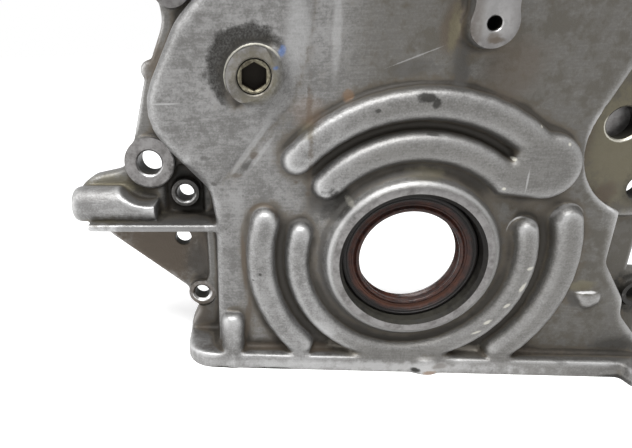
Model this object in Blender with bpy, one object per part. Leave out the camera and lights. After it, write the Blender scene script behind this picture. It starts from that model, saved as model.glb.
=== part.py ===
"""Timing cover of a chain-drive engine: a cast aluminium cover with its crankshaft seal and screw plug.

Lengths are in metres. Seen from the front, x runs to the right and z up. Depth is measured forward
from the joint that bolts to the engine block, so the front of the cover faces -Y. The crank axis is
at x = 0, z = 0 until the whole cover is set on its sump joint.
"""

import math

import bpy
import bmesh
from mathutils import Vector

# Where the cover stands: the origin is on the sump joint, under the crank axis.
CRANK_HEIGHT = 0.055
SUMP_BOLT_DEPTH = 0.026

# The housing, from the block joint forward.
HEAD_HEIGHT = 0.125
JOINT_THICKNESS = 0.009
WEB_THICKNESS = 0.005
BODY_DEPTH = 0.024
FRONT_WALL = 0.0045
SIDE_WALL = 0.005
BODY_EDGE = 0.003
CAST_EDGE = 0.0015
SOFT_EDGE = 0.0008
MILLED_EDGE = 0.0005
LEDGE = 0.0003
BODY_LEFT = -0.0812
BODY_WAIST = 0.082
BODY_FOOT_RIGHT = 0.1045
BODY_RIGHT = 0.086
BODY_ROUND = 0.010
SHOULDER_LEFT = -0.080
SHOULDER_DROP = 0.0152
SHOULDER_ROUND = 0.012
FLANK_LEFT = -0.0947
FLANK_DROP = 0.030
FLANK_ROUND = 0.020
RIGHT_DROP = 0.022
JOINT_LEFT = -0.0965
JOINT_RIGHT = 0.1013
JOINT_FOOT_RIGHT = 0.112
JOINT_FOOT_TOP = -0.0155
JOINT_EAR_DROP = 0.020
HEAD_LEFT = -0.1015
HEAD_RIGHT = 0.0985
BLEND = 0.002

# Stretches of the outlines seen from the front, as (x, z, corner radius), or (z, radius) at a known x.
BODY_LOWER_RIGHT = ((0.1035, -0.0412, 0.003), (0.0935, -0.0292, 0.008), (0.0929, -0.0215, 0.006))
WAIST_START = (-0.0043, 0.006)
WAIST_END = (0.0240, 0.0)
RECESS_CORNER = (0.0670, 0.0590, 0.0)
BODY_LOWER_LEFT = ((-0.1127, 0.0590, 0.023), (-0.0834, 0.0278, 0.008))
LEFT_START = (0.0140, 0.015)
CHAIN_LOWER_LEFT = ((-0.1056, 0.0600, 0.018), (-0.0790, 0.0300, 0.006))
PANEL_FOLD = ((-0.0832, 0.0282, 0.006), (-0.0500, 0.0640, 0.020))
PANEL_RIGHT = -0.0440
PANEL_FAR_LEFT = (-0.1116, 0.0592, 0.022)
PANEL_SETBACK = 0.001
JOINT_LEFT_SIDE = (
    (-0.1116, 0.0710, 0.030), (-0.1180, 0.0460, 0.004), (-0.1108, 0.0360, 0.0),
    (-0.0880, 0.0360, 0.0), (-0.0865, -0.0180, 0.010), (-0.0921, -0.0365, 0.006),
    (-0.0961, -0.0455, 0.004),
)
WEB_SIDES = ((-0.1352, 0.0018, 0.003), (-0.0975, -0.0275, 0.0), (-0.0840, -0.0290, 0.0), (-0.0840, 0.0480, 0.0))
WEB_TOP_LEFT = -0.1150
STUB_PAD_LEFT = -0.1449
STUB_PAD_RIGHT = -0.1050
STUB_PAD_LOW = 0.0262
STUB_PAD_TOP = ((-0.1215, 0.0415, 0.003), (-0.1235, 0.0335, 0.006), (-0.1385, 0.0305, 0.005))
WEDGE_CORNERS = ((0.0697, -0.0176), (0.0738, -0.0240), (0.0772, -0.0250), (0.0816, -0.0218), (0.0817, -0.0168))

# The rail that carries the sump joint, and its twin for the cylinder head.
SILL_DEPTH = 0.0315
SILL_THICKNESS = 0.0072
SILL_CORNER = 0.013
HEAD_RAIL_DEPTH = 0.029
HEAD_RAIL_THICKNESS = 0.008
RAIL_SCREW_RADIUS = 0.0025
RAIL_SCREW_LENGTH = 0.014
SILL_BOSS_X = -0.0745
SILL_BOSS_RADIUS = 0.0052
SILL_BOSS_TOP = -0.0290
SILL_BOSS_ROUND = 0.003
SILL_BOSS_DOME = 0.0045
SILL_SWELL_X = 0.0115
SILL_SWELL_RADIUS = 0.009
SILL_SWELL_RISE = 0.002
SILL_LOBE_X = 0.104
SILL_LOBE_DEPTH = 0.033
SILL_LOBE_RADIUS = 0.0105
HEAD_SCREW_X = (-0.060, -0.020, 0.060)
HEAD_SCREW_SETBACK = 0.006

# The raised panel at the upper left and the screw plug in it.
PANEL_RISE = 0.003
PANEL_EDGE = 0.0045
PLUG_X = -0.0644
PLUG_Z = 0.0747
PLUG_RADIUS = 0.0063
PLUG_LENGTH = 0.010
PLUG_RECESS = 0.0006
PLUG_SEAT = 0.001
PLUG_HEX = 0.0092
PLUG_HEX_DEPTH = 0.006
PLUG_BOSS_RADIUS = 0.01075
PLUG_BOSS_DEPTH = 0.032

# The crankshaft seal and the ring that holds it.
SEAL_RADIUS = 0.028
SEAL_WIDTH = 0.009
SEAL_SETBACK = 0.005
SEAL_SKIN = 0.0011
SEAL_FACE = 0.0012
CASE_THICKNESS = 0.001
CASE_EYE = 0.0240
LIP_RADIUS = 0.0203
LIP_SETBACK = 0.0034
SEAL_STEP = 0.001
SPRING_WIRE = 0.00085
SPRING_RADIUS = 0.0228
SPRING_SETBACK = 0.0024
RING_RADIUS = 0.0335
RING_DEPTH = 0.033
RING_FOOT = 0.0405
RING_CHAMFER = 0.0014
RING_SLOPE_SHARE = 0.8
SHOULDER_RADIUS = 0.0255
GAP = 0.0003

# Beads round the ring: middle radius and half width, and the angles in degrees where the crown turns.
BEAD_HEIGHT = 0.0065
INNER_BEAD = 0.0463
INNER_BEAD_HALF = 0.0053
OUTER_BEAD = 0.0620
OUTER_BEAD_HALF = 0.0063
CROWN_INNER = 0.0469
CROWN_INNER_HALF = 0.0064
CROWN_OUTER = 0.0633
CROWN_OUTER_HALF = 0.0066
CROWN_PAD_X = 0.047
CROWN_PAD_Z = 0.038
CROWN_PAD_RADIUS = 0.013
CROWN_END = 138.5
CROWN_NECK = 42
CROWN_GROOVE = 52
BEAD_CROWN_SHARE = 0.55

# Each plain bead: name, middle radius, half width, and the angles of its ends in degrees.
BEADS = (
    ("inner_bead", INNER_BEAD, INNER_BEAD_HALF, 167, 375.5),
    ("left_bead", OUTER_BEAD, OUTER_BEAD_HALF, 165.5, 225),
    ("right_bead", OUTER_BEAD, OUTER_BEAD_HALF, -46.5, 15.5),
)

# The round recess at the right.
RECESS_X = 0.0909
RECESS_Z = 0.0452
RECESS_RADIUS = 0.0283
RECESS_FLOOR = 0.011
RECESS_RIM = 0.0047
SOCKET_X = 0.0826
SOCKET_Z = 0.0516
SOCKET_RADIUS = 0.0065
SOCKET_LENGTH = 0.007

# The lug, the pipe stub, the shelf and the web at the left.
LUG_X = -0.1108
LUG_Z = 0.0375
LUG_RADIUS = 0.0114
LUG_DEPTH = 0.0115
LUG_HOLE = 0.0055
LUG_RELIEF = 0.0170
STUB_END = -0.146
STUB_ROOT = -0.108
STUB_Z = 0.0195
STUB_DEPTH = 0.0135
STUB_RADIUS = 0.0082
STUB_BORE = 0.0045
STUB_BORE_LENGTH = 0.024
STUB_ROUND = 0.0025
STUB_DOME = 0.0035
NUB = (-0.1086, 0.0765, 0.0042)
SHELF_LEFT = -0.1386
SHELF_TOP = 0.0126
SHELF_BOTTOM = 0.0093

# The pad of the tapped boss near the top.
TOP_BOSS_X = 0.0182
TOP_BOSS_DROP = 0.0346
TOP_BOSS_Z = HEAD_HEIGHT - TOP_BOSS_DROP
TOP_BOSS_RADIUS = 0.0084
TOP_NECK_HALF = 0.0074
TOP_BOSS_DEPTH = 0.032
TOP_BOSS_SCREW = 0.0025
TOP_BOSS_SCREW_LENGTH = 0.015
WEDGE_RISE = 0.0025

# Plain bolt bosses on the block joint: x, z, boss radius, boss depth, hole radius.
BOLT_BOSSES = (
    (-0.0958, 0.0231, 0.0064, 0.0095, 0.0039),
    (-0.0904, -0.0286, 0.0065, 0.0080, 0.0036),
    (0.1056, -0.0244, 0.0062, 0.0120, 0.0038),
)
# Those under the head rail, with their drop below the head joint in the place of z.
HEAD_BOSSES = (
    (-0.0968, 0.0170, 0.0080, 0.0110, 0.0036),
    (0.0980, 0.0200, 0.0080, 0.0110, 0.0036),
)
WEB_HOLE = (-0.0986, -0.0004, 0.0038)
RECESS_HOLE = (0.0956, 0.0246, 0.0052)
HOLE_CHAMFER = 0.0005

# Inside the cover.
BACK_BOSS_DEPTH = 0.012
BACK_RIB_HALF = 0.00175
BACK_RIB_DEPTH = 0.0125
BACK_RING_DEPTH = 0.016

# How far shapes run into one another, and how round they are: steps are in degrees.
OVERLAP = 0.001
THROUGH = 0.002
SMALL_ROUND = 0.009
LARGE_ROUND = 0.020
ARC_STEP = 18
BAND_STEP = 7.5
END_STEP = 30
SMOOTH_ANGLE = 35
SPRING_SMOOTH = 60


def clear_scene():
    """Remove whatever the scene holds."""
    for item in list(bpy.data.objects):
        bpy.data.objects.remove(item, do_unlink=True)


def place(x, z, depth):
    """A point of the cover, from its place seen from the front and its depth."""
    return Vector((x, -depth, z))


def counter_clockwise(outline):
    """The outline in counter-clockwise order, seen from the front."""
    doubled = 0.0
    for here, after in zip(outline, outline[1:] + outline[:1]):
        doubled += here[0] * after[1] - after[0] * here[1]
    return outline if doubled > 0 else outline[::-1]


def rounded(corners):
    """An outline through (x, z, radius) corners, each turned into an arc where it has a radius."""
    outline = []
    for index, (x, z, radius) in enumerate(corners):
        corner = Vector((x, z))
        back = Vector(corners[index - 1][:2]) - corner
        ahead = Vector(corners[(index + 1) % len(corners)][:2]) - corner
        turn = math.pi - back.angle(ahead)
        reach = min(radius * math.tan(turn / 2), 0.48 * back.length, 0.48 * ahead.length)
        if reach < 1e-6:
            outline.append((x, z))
            continue
        bow = reach / math.tan(turn / 2)
        towards = (back.normalized() + ahead.normalized()).normalized()
        centre = corner + towards * (bow / math.cos(turn / 2))
        first = corner + back.normalized() * reach - centre
        last = corner + ahead.normalized() * reach - centre
        start = math.atan2(first.y, first.x)
        sweep = (math.atan2(last.y, last.x) - start + math.pi) % math.tau - math.pi
        steps = max(2, round(abs(sweep) / math.radians(ARC_STEP)))
        for step in range(steps + 1):
            angle = start + sweep * step / steps
            outline.append((centre.x + bow * math.cos(angle), centre.y + bow * math.sin(angle)))
    return counter_clockwise(outline)


def circle(x, z, radius, segments=0):
    """A round outline, with more points on a larger circle."""
    count = segments or (20 if radius < SMALL_ROUND else 30 if radius < LARGE_ROUND else 60)
    return [
        (x + radius * math.cos(math.tau * step / count), z + radius * math.sin(math.tau * step / count))
        for step in range(count)
    ]


def arc(x, z, radius, start, end):
    """Points along an arc between two angles in degrees, in the order given."""
    step = BAND_STEP if radius > LARGE_ROUND else END_STEP
    steps = max(2, round(abs(end - start) / step))
    angles = [math.radians(start + (end - start) * count / steps) for count in range(steps + 1)]
    return [(x + radius * math.cos(angle), z + radius * math.sin(angle)) for angle in angles]


def band_end(radius, angle, half, start, end):
    """The round end of a band about the crank axis, turned from one of its sides to the other."""
    x, z = radius * math.cos(math.radians(angle)), radius * math.sin(math.radians(angle))
    return arc(x, z, half, start, end)[1:-1]


def arc_slot(radius, start, end, half):
    """A band of even width along an arc about the crank axis, with half-round ends."""
    outline = arc(0, 0, radius + half, start, end)
    outline += band_end(radius, end, half, end, end + 180)
    outline += arc(0, 0, radius - half, end, start)
    outline += band_end(radius, start, half, start + 180, start + 360)
    return outline


def crown_outline():
    """Two bands above the seal, run together in a round pad at their right end."""
    outer_edge = CROWN_OUTER + CROWN_OUTER_HALF
    inner_edge = CROWN_INNER - CROWN_INNER_HALF
    pad_reach = math.hypot(CROWN_PAD_X, CROWN_PAD_Z)
    pad_angle = math.degrees(math.atan2(CROWN_PAD_Z, CROWN_PAD_X))
    meeting = (outer_edge ** 2 + pad_reach ** 2 - CROWN_PAD_RADIUS ** 2) / (2 * outer_edge * pad_reach)
    meeting_angle = pad_angle + math.degrees(math.acos(max(-1.0, min(1.0, meeting))))
    meeting_x = outer_edge * math.cos(math.radians(meeting_angle)) - CROWN_PAD_X
    meeting_z = outer_edge * math.sin(math.radians(meeting_angle)) - CROWN_PAD_Z
    pad_start = math.degrees(math.atan2(meeting_z, meeting_x))
    groove_inner = CROWN_INNER + CROWN_INNER_HALF
    groove_outer = CROWN_OUTER - CROWN_OUTER_HALF
    groove_half = (groove_outer - groove_inner) / 2
    outline = arc(0, 0, outer_edge, CROWN_END, meeting_angle)
    outline += arc(CROWN_PAD_X, CROWN_PAD_Z, CROWN_PAD_RADIUS, pad_start, -98)[1:]
    outline += arc(0, 0, inner_edge, CROWN_NECK, CROWN_END)
    outline += band_end(CROWN_INNER, CROWN_END, CROWN_INNER_HALF, CROWN_END + 180, CROWN_END)
    outline += arc(0, 0, groove_inner, CROWN_END, CROWN_GROOVE)
    groove_middle = groove_inner + groove_half
    outline += band_end(groove_middle, CROWN_GROOVE, groove_half, CROWN_GROOVE - 180, CROWN_GROOVE)
    outline += arc(0, 0, groove_outer, CROWN_GROOVE, CROWN_END)
    outline += band_end(CROWN_OUTER, CROWN_END, CROWN_OUTER_HALF, CROWN_END + 180, CROWN_END)
    return counter_clockwise(outline)


def inset(outline, distance):
    """The outline moved inward by an even distance."""
    moved = []
    for index, here in enumerate(outline):
        here = Vector(here)
        back = (here - Vector(outline[index - 1])).normalized()
        ahead = (Vector(outline[(index + 1) % len(outline)]) - here).normalized()
        side_back = Vector((-back.y, back.x))
        side_ahead = Vector((-ahead.y, ahead.x))
        spread = max(0.4, 1.0 + side_back.dot(side_ahead))
        moved.append(tuple(here + (side_back + side_ahead) * (distance / spread)))
    return moved


def solid(name, rings, closed=False):
    """A solid through rings of points; closed joins the last ring to the first, as in a washer."""
    mesh = bpy.data.meshes.new(name)
    work = bmesh.new()
    levels = [[work.verts.new(point) for point in ring] for ring in rings]
    pairs = list(zip(levels, levels[1:])) + ([(levels[-1], levels[0])] if closed else [])
    for lower, upper in pairs:
        for index in range(len(lower)):
            after = (index + 1) % len(lower)
            work.faces.new((lower[index], lower[after], upper[after], upper[index]))
    if not closed:
        work.faces.new(levels[0])
        work.faces.new(levels[-1])
    bmesh.ops.recalc_face_normals(work, faces=work.faces)
    work.to_mesh(mesh)
    work.free()
    made = bpy.data.objects.new(name, mesh)
    bpy.context.scene.collection.objects.link(made)
    made.parent = bpy.data.objects["crank_axis"]
    return made


def block(name, outline, back, front, edge=0.0, edge_depth=0.0, level=place):
    """A cast block from one depth to another, its front edge rounded by edge across and edge_depth deep."""
    edge_depth = edge_depth or edge
    rings = [[level(x, z, back) for x, z in outline]]
    turns = (0,) if not edge else (0, 90) if edge <= CAST_EDGE else (0, 30, 60, 90)
    for turn in turns:
        angle = math.radians(turn)
        shape = inset(outline, edge * (1 - math.cos(angle)))
        depth = front - edge_depth * (1 - math.sin(angle))
        rings.append([level(x, z, depth) for x, z in shape])
    return solid(name, rings)


def upright(x, depth, z):
    """A point of a plan outline, given as x and depth, at a height."""
    return place(x, z, depth)


def sideways(depth, z, x):
    """A point of a side outline, given as depth and height, at a place along x."""
    return place(x, z, depth)


def turned(name, profile, x=0.0, z=0.0, segments=0):
    """A solid turned about a line that runs forward, from (radius, depth) steps, back to front."""
    widest = segments or len(circle(0.0, 0.0, max(radius for radius, depth in profile)))
    rings = []
    for radius, depth in profile:
        rings.append([place(px, pz, depth) for px, pz in circle(x, z, radius, widest)])
    return solid(name, rings)


def washer(name, profile, segments=60):
    """A ring about the crank axis, from the corners (radius, depth) of its section."""
    rings = []
    for radius, depth in profile:
        rings.append([place(px, pz, depth) for px, pz in circle(0.0, 0.0, radius, segments)])
    return solid(name, rings, closed=True)


def drilled(name, x, z, radius, back, front, chamfer=HOLE_CHAMFER):
    """The cutter of a drilled hole whose mouth at the front is chamfered."""
    profile = [(radius, back), (radius, front - chamfer), (radius + chamfer, front)]
    profile.append((radius + chamfer, front + THROUGH))
    return turned(name, profile, x, z)


def join(target, operation, tools):
    """Give the target one exact Boolean for each tool shape."""
    for tool in tools:
        tool.hide_render = True
        tool.display_type = 'WIRE'
        modifier = target.modifiers.new(tool.name, 'BOOLEAN')
        modifier.operation = operation
        modifier.object = tool
        modifier.solver = 'EXACT'


def material(name, colour, roughness, metallic):
    """A plain Principled material."""
    made = bpy.data.materials.new(name)
    made.use_nodes = True
    shader = made.node_tree.nodes["Principled BSDF"]
    shader.inputs["Base Color"].default_value = (*colour, 1.0)
    shader.inputs["Roughness"].default_value = roughness
    shader.inputs["Metallic"].default_value = metallic
    return made


def finish(made, look, sharp=SMOOTH_ANGLE):
    """Give a piece its material and smooth its round faces."""
    made.data.materials.append(look)
    made.data.shade_smooth()
    made.data.set_sharp_from_angle(angle=math.radians(sharp))


def body_outline():
    """The raised housing seen from the front; its right side is finished by the round recess."""
    top = HEAD_HEIGHT - HEAD_RAIL_THICKNESS / 2
    bottom = SILL_THICKNESS / 2 - CRANK_HEIGHT
    shoulder_z = HEAD_HEIGHT - SHOULDER_DROP
    flank_z = HEAD_HEIGHT - FLANK_DROP
    right_z = HEAD_HEIGHT - RIGHT_DROP
    return rounded([
        (BODY_LEFT, bottom, 0), (BODY_FOOT_RIGHT, bottom, 0), *BODY_LOWER_RIGHT,
        (BODY_WAIST, *WAIST_START), (BODY_WAIST, *WAIST_END), RECESS_CORNER,
        (BODY_RIGHT, right_z, SHOULDER_ROUND), (BODY_RIGHT, top, 0), (SHOULDER_LEFT, top, 0),
        (SHOULDER_LEFT, shoulder_z, SHOULDER_ROUND), (FLANK_LEFT, flank_z, FLANK_ROUND),
        *BODY_LOWER_LEFT, (BODY_LEFT, *LEFT_START),
    ])


def panel_outline():
    """The raised panel, a little inside the housing's own edge at the left."""
    top = HEAD_HEIGHT - HEAD_RAIL_THICKNESS
    shoulder_x = SHOULDER_LEFT + PANEL_SETBACK
    shoulder_z = HEAD_HEIGHT - SHOULDER_DROP
    flank_z = HEAD_HEIGHT - FLANK_DROP
    return rounded([
        *PANEL_FOLD, (PANEL_RIGHT, flank_z, FLANK_ROUND), (PANEL_RIGHT, top, 0), (shoulder_x, top, 0),
        (shoulder_x, shoulder_z, SHOULDER_ROUND), (FLANK_LEFT + PANEL_SETBACK, flank_z, FLANK_ROUND),
        PANEL_FAR_LEFT,
    ])


def joint_outline():
    """The flange that bolts to the block, without its bosses."""
    right_z = HEAD_HEIGHT - JOINT_EAR_DROP
    flank_z = HEAD_HEIGHT - FLANK_DROP
    return rounded([
        (JOINT_LEFT, -CRANK_HEIGHT, 0), (JOINT_FOOT_RIGHT, -CRANK_HEIGHT, 0),
        (JOINT_FOOT_RIGHT, JOINT_FOOT_TOP, BLEND), (JOINT_RIGHT, JOINT_FOOT_TOP, 0),
        (JOINT_RIGHT, flank_z, BODY_ROUND), (JOINT_RIGHT + BLEND, right_z, BODY_ROUND),
        (HEAD_RIGHT, HEAD_HEIGHT, 0), (HEAD_LEFT, HEAD_HEIGHT, 0),
        (HEAD_LEFT - CAST_EDGE, right_z, FLANK_ROUND), (HEAD_LEFT, flank_z, SHOULDER_ROUND),
        *JOINT_LEFT_SIDE,
    ])


def web_outline():
    """The thin web between the lug, the shelf and the lowest bolt boss."""
    top = SHELF_TOP - BLEND / 2
    return rounded([
        (SHELF_LEFT + 2 * BLEND, top, 0), *WEB_SIDES, (WEB_TOP_LEFT, LUG_Z + CAST_EDGE, 0), (WEB_TOP_LEFT, top, 0),
    ])


def stub_pad_outline():
    """The flange behind the pipe stub, which runs up to the lug."""
    bottom = SHELF_TOP - BLEND
    return rounded([
        (STUB_PAD_LEFT, bottom, BLEND), (STUB_PAD_RIGHT, bottom, 0), (STUB_PAD_RIGHT, LUG_Z, 0),
        *STUB_PAD_TOP, (STUB_PAD_LEFT, STUB_PAD_LOW, BODY_ROUND / 2),
    ])


def rail_outline(left, right, depth, corner):
    """The plan of a joint rail: x against depth, with rounded front corners."""
    return rounded([(left, 0, 0), (right, 0, 0), (right, depth, corner), (left, depth, corner)])


def rails():
    """The sump rail with its bolt swellings, and the head rail."""
    floor = -CRANK_HEIGHT
    sill_top = floor + SILL_THICKNESS
    head_floor = HEAD_HEIGHT - HEAD_RAIL_THICKNESS
    sill = rail_outline(JOINT_LEFT, SILL_LOBE_X + SILL_LOBE_RADIUS - GAP, SILL_DEPTH, SILL_CORNER)
    head = rail_outline(HEAD_LEFT, HEAD_RIGHT, HEAD_RAIL_DEPTH, SILL_CORNER)
    swell_depth = SILL_DEPTH + SILL_SWELL_RISE - SILL_SWELL_RADIUS
    boss_depth = SILL_DEPTH - SILL_BOSS_RADIUS - LEDGE
    lobe = circle(SILL_LOBE_X, SILL_LOBE_DEPTH, SILL_LOBE_RADIUS)
    swell = circle(SILL_SWELL_X, swell_depth, SILL_SWELL_RADIUS)
    boss_foot = circle(SILL_BOSS_X, boss_depth + 2 * LEDGE, SILL_BOSS_RADIUS + LEDGE)
    boss = circle(SILL_BOSS_X, boss_depth, SILL_BOSS_RADIUS)
    dome = (SILL_BOSS_ROUND, SILL_BOSS_DOME)
    return [
        block("sill", sill, floor, sill_top, SOFT_EDGE, level=upright),
        block("sill_lobe", lobe, floor, sill_top - LEDGE, SOFT_EDGE, level=upright),
        block("sill_swell", swell, floor, sill_top + LEDGE, SOFT_EDGE, level=upright),
        block("sill_boss_foot", boss_foot, floor, sill_top + LEDGE, SOFT_EDGE, level=upright),
        block("sill_boss", boss, floor + OVERLAP, SILL_BOSS_TOP, *dome, level=upright),
        block("head_rail", head, head_floor, HEAD_HEIGHT, SOFT_EDGE, level=upright),
    ]


def beads():
    """The beads round the seal ring, and the crown with its pad above it."""
    root = BODY_DEPTH - FRONT_WALL / 2
    crest = BODY_DEPTH + BEAD_HEIGHT
    made = []
    for name, radius, half, start, end in BEADS:
        slot = arc_slot(radius, start, end, half)
        made.append(block(name, slot, root, crest, half * BEAD_CROWN_SHARE, BEAD_HEIGHT))
    edge = CROWN_INNER_HALF * BEAD_CROWN_SHARE
    made.append(block("crown", crown_outline(), root, crest + LEDGE, edge, BEAD_HEIGHT))
    return made


def seal_ring():
    """The ring round the seal bore, with its hollow outer slope and its short back."""
    fall = RING_DEPTH - BODY_DEPTH
    width = RING_FOOT - RING_RADIUS
    profile = [(RING_FOOT, BODY_DEPTH - FRONT_WALL / 2)]
    for step in range(5):
        angle = math.radians(22.5 * step)
        outward = width * (1 - math.sin(angle))
        rise = fall * RING_SLOPE_SHARE * (1 - math.cos(angle))
        profile.append((RING_RADIUS + outward, BODY_DEPTH + LEDGE + rise))
    profile.append((RING_RADIUS, RING_DEPTH - CAST_EDGE))
    profile.append((RING_RADIUS - CAST_EDGE, RING_DEPTH))
    return turned("seal_ring", profile)


def left_side():
    """The lug, the pipe stub with its relief for the lug's spot-facer, the shelf and the web."""
    shelf = rounded([
        (SHELF_LEFT, SHELF_BOTTOM, CAST_EDGE), (BODY_LEFT + SIDE_WALL / 2, SHELF_BOTTOM, 0),
        (BODY_LEFT + SIDE_WALL / 2, SHELF_TOP, 0), (SHELF_LEFT, SHELF_TOP, SOFT_EDGE),
    ])
    pipe = circle(STUB_DEPTH, STUB_Z, STUB_RADIUS, 30)
    stub = block("stub", pipe, STUB_ROOT, STUB_END, STUB_ROUND, -STUB_DOME, level=sideways)
    relief = circle(LUG_X, LUG_Z, LUG_RELIEF, 48)
    join(stub, 'DIFFERENCE', [block("lug_relief", relief, JOINT_THICKNESS, BODY_DEPTH)])
    nub = circle(*NUB)
    return [
        block("web", web_outline(), 0, WEB_THICKNESS, SOFT_EDGE),
        block("stub_pad", stub_pad_outline(), 0, JOINT_THICKNESS - LEDGE, CAST_EDGE),
        block("shelf", shelf, 0, BODY_DEPTH - LEDGE, SOFT_EDGE),
        stub,
        block("lug", circle(LUG_X, LUG_Z, LUG_RADIUS), 0, LUG_DEPTH, MILLED_EDGE),
        block("nub", nub, 0, JOINT_THICKNESS - 2 * LEDGE, CAST_EDGE),
    ]


def front_pads():
    """The raised panel, the plug boss, the tapped boss with its neck and the small wedge pad."""
    root = BODY_DEPTH - FRONT_WALL / 2
    panel_depth = BODY_DEPTH + PANEL_RISE
    neck_top = HEAD_HEIGHT - HEAD_RAIL_THICKNESS / 2
    neck = rounded([
        (TOP_BOSS_X - TOP_NECK_HALF, TOP_BOSS_Z, 0), (TOP_BOSS_X + TOP_NECK_HALF, TOP_BOSS_Z, 0),
        (TOP_BOSS_X + TOP_NECK_HALF, neck_top, 0), (TOP_BOSS_X - TOP_NECK_HALF, neck_top, 0),
    ])
    top_boss = circle(TOP_BOSS_X, TOP_BOSS_Z, TOP_BOSS_RADIUS, 30)
    wedge = rounded([(x, z, CAST_EDGE) for x, z in WEDGE_CORNERS])
    return [
        block("panel", panel_outline(), root, panel_depth, PANEL_EDGE, PANEL_RISE + CAST_EDGE),
        block("plug_boss", circle(PLUG_X, PLUG_Z, PLUG_BOSS_RADIUS), root, PLUG_BOSS_DEPTH, MILLED_EDGE),
        block("top_boss", top_boss, root, TOP_BOSS_DEPTH, MILLED_EDGE),
        block("top_neck", neck, root, TOP_BOSS_DEPTH - LEDGE, MILLED_EDGE),
        block("wedge_pad", wedge, root, BODY_DEPTH + WEDGE_RISE, CAST_EDGE),
    ]


def bosses():
    """All plain bolt bosses, as x, z, boss radius, boss depth and hole radius."""
    under_head = [(x, HEAD_HEIGHT - drop, radius, depth, hole) for x, drop, radius, depth, hole in HEAD_BOSSES]
    return list(BOLT_BOSSES) + under_head


def bolt_bosses():
    """The bosses of the block joint."""
    made = []
    for index, (x, z, radius, depth, _) in enumerate(bosses()):
        made.append(block("bolt_boss_%d" % index, circle(x, z, radius), 0, depth, SOFT_EDGE))
    return made


def chain_space():
    """The cutter of the hollow for the chain, open at the back, to the sump and to the head."""
    left = BODY_LEFT + SIDE_WALL
    right = BODY_FOOT_RIGHT - SIDE_WALL
    bottom = -CRANK_HEIGHT - THROUGH
    top = HEAD_HEIGHT + THROUGH
    shoulder_x = SHOULDER_LEFT + SIDE_WALL
    shoulder_z = HEAD_HEIGHT - SHOULDER_DROP - BLEND
    flank_z = HEAD_HEIGHT - FLANK_DROP - BLEND
    right_x = BODY_RIGHT - SIDE_WALL
    right_z = HEAD_HEIGHT - RIGHT_DROP + CAST_EDGE
    outline = rounded([
        (left, bottom, 0), (right, bottom, 0), *[(x - SIDE_WALL, z, r) for x, z, r in BODY_LOWER_RIGHT],
        (BODY_WAIST - SIDE_WALL, *WAIST_START), (BODY_WAIST - SIDE_WALL, *WAIST_END),
        (RECESS_CORNER[0] - SIDE_WALL, *RECESS_CORNER[1:]),
        (right_x, right_z, BODY_ROUND), (right_x, top, 0), (shoulder_x, top, 0),
        (shoulder_x, shoulder_z, BODY_ROUND), (FLANK_LEFT + SIDE_WALL - CAST_EDGE / 2, flank_z, SHOULDER_ROUND),
        *CHAIN_LOWER_LEFT, (left, *LEFT_START),
    ])
    space = block("chain_space", outline, -THROUGH, BODY_DEPTH - FRONT_WALL, BLEND)
    wall = circle(RECESS_X, RECESS_Z, RECESS_RADIUS + SIDE_WALL)
    keep = block("recess_wall", wall, -2 * THROUGH, BODY_DEPTH)
    join(space, 'DIFFERENCE', [keep])
    return space


def inner_parts():
    """What stands inside the hollow: the backs of the bosses and three stiffening ribs."""
    front = BODY_DEPTH - FRONT_WALL / 2
    left = BODY_LEFT + SIDE_WALL / 2
    right = BODY_WAIST - SIDE_WALL / 2
    rib_x, rib_z = BACK_RIB_HALF, RING_RADIUS - OVERLAP
    ribs = (
        ("left_rib", left, -rib_x, -rib_z, rib_x),
        ("right_rib", rib_z, -rib_x, right, rib_x),
        ("upper_rib", TOP_BOSS_X - rib_x, SEAL_RADIUS, TOP_BOSS_X + rib_x, TOP_BOSS_Z),
    )
    made = [
        block("ring_back", circle(0.0, 0.0, RING_RADIUS), BACK_RING_DEPTH, front),
        block("plug_back", circle(PLUG_X, PLUG_Z, PLUG_BOSS_RADIUS), BACK_BOSS_DEPTH, front),
        block("top_back", circle(TOP_BOSS_X, TOP_BOSS_Z, TOP_BOSS_RADIUS - LEDGE), BACK_BOSS_DEPTH, front),
    ]
    for name, x0, z0, x1, z1 in ribs:
        bar = [(x0, z0), (x1, z0), (x1, z1), (x0, z1)]
        made.append(block(name, bar, BACK_RIB_DEPTH, front))
    return made


def crank_bore():
    """The cutter of the seal bore, its shoulder and the opening for the crankshaft."""
    seat = RING_DEPTH - SEAL_SETBACK - SEAL_WIDTH
    return turned("crank_bore", [
        (SHOULDER_RADIUS, -THROUGH), (SHOULDER_RADIUS, seat - GAP), (SEAL_RADIUS, seat - GAP),
        (SEAL_RADIUS, RING_DEPTH - RING_CHAMFER), (SEAL_RADIUS + RING_CHAMFER, RING_DEPTH),
        (SEAL_RADIUS + RING_CHAMFER, RING_DEPTH + THROUGH),
    ])


def rail_screws():
    """The cutters of the tapped holes in the two rails."""
    sill_depths = (
        (SILL_BOSS_X, SILL_DEPTH - SILL_BOSS_RADIUS), (SILL_SWELL_X, SUMP_BOLT_DEPTH),
        (SILL_LOBE_X, SILL_LOBE_DEPTH),
    )
    made = []
    for index, (x, depth) in enumerate(sill_depths):
        length = RAIL_SCREW_LENGTH if x == SILL_BOSS_X else SILL_THICKNESS - CAST_EDGE
        hole = circle(x, depth, RAIL_SCREW_RADIUS, 16)
        floor = -CRANK_HEIGHT
        made.append(block("sump_screw_%d" % index, hole, floor - THROUGH, floor + length, level=upright))
    for index, x in enumerate(HEAD_SCREW_X):
        hole = circle(x, HEAD_RAIL_DEPTH - HEAD_SCREW_SETBACK, RAIL_SCREW_RADIUS, 16)
        floor = HEAD_HEIGHT - HEAD_RAIL_THICKNESS + CAST_EDGE
        made.append(block("head_screw_%d" % index, hole, floor, HEAD_HEIGHT + THROUGH, level=upright))
    return made


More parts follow.
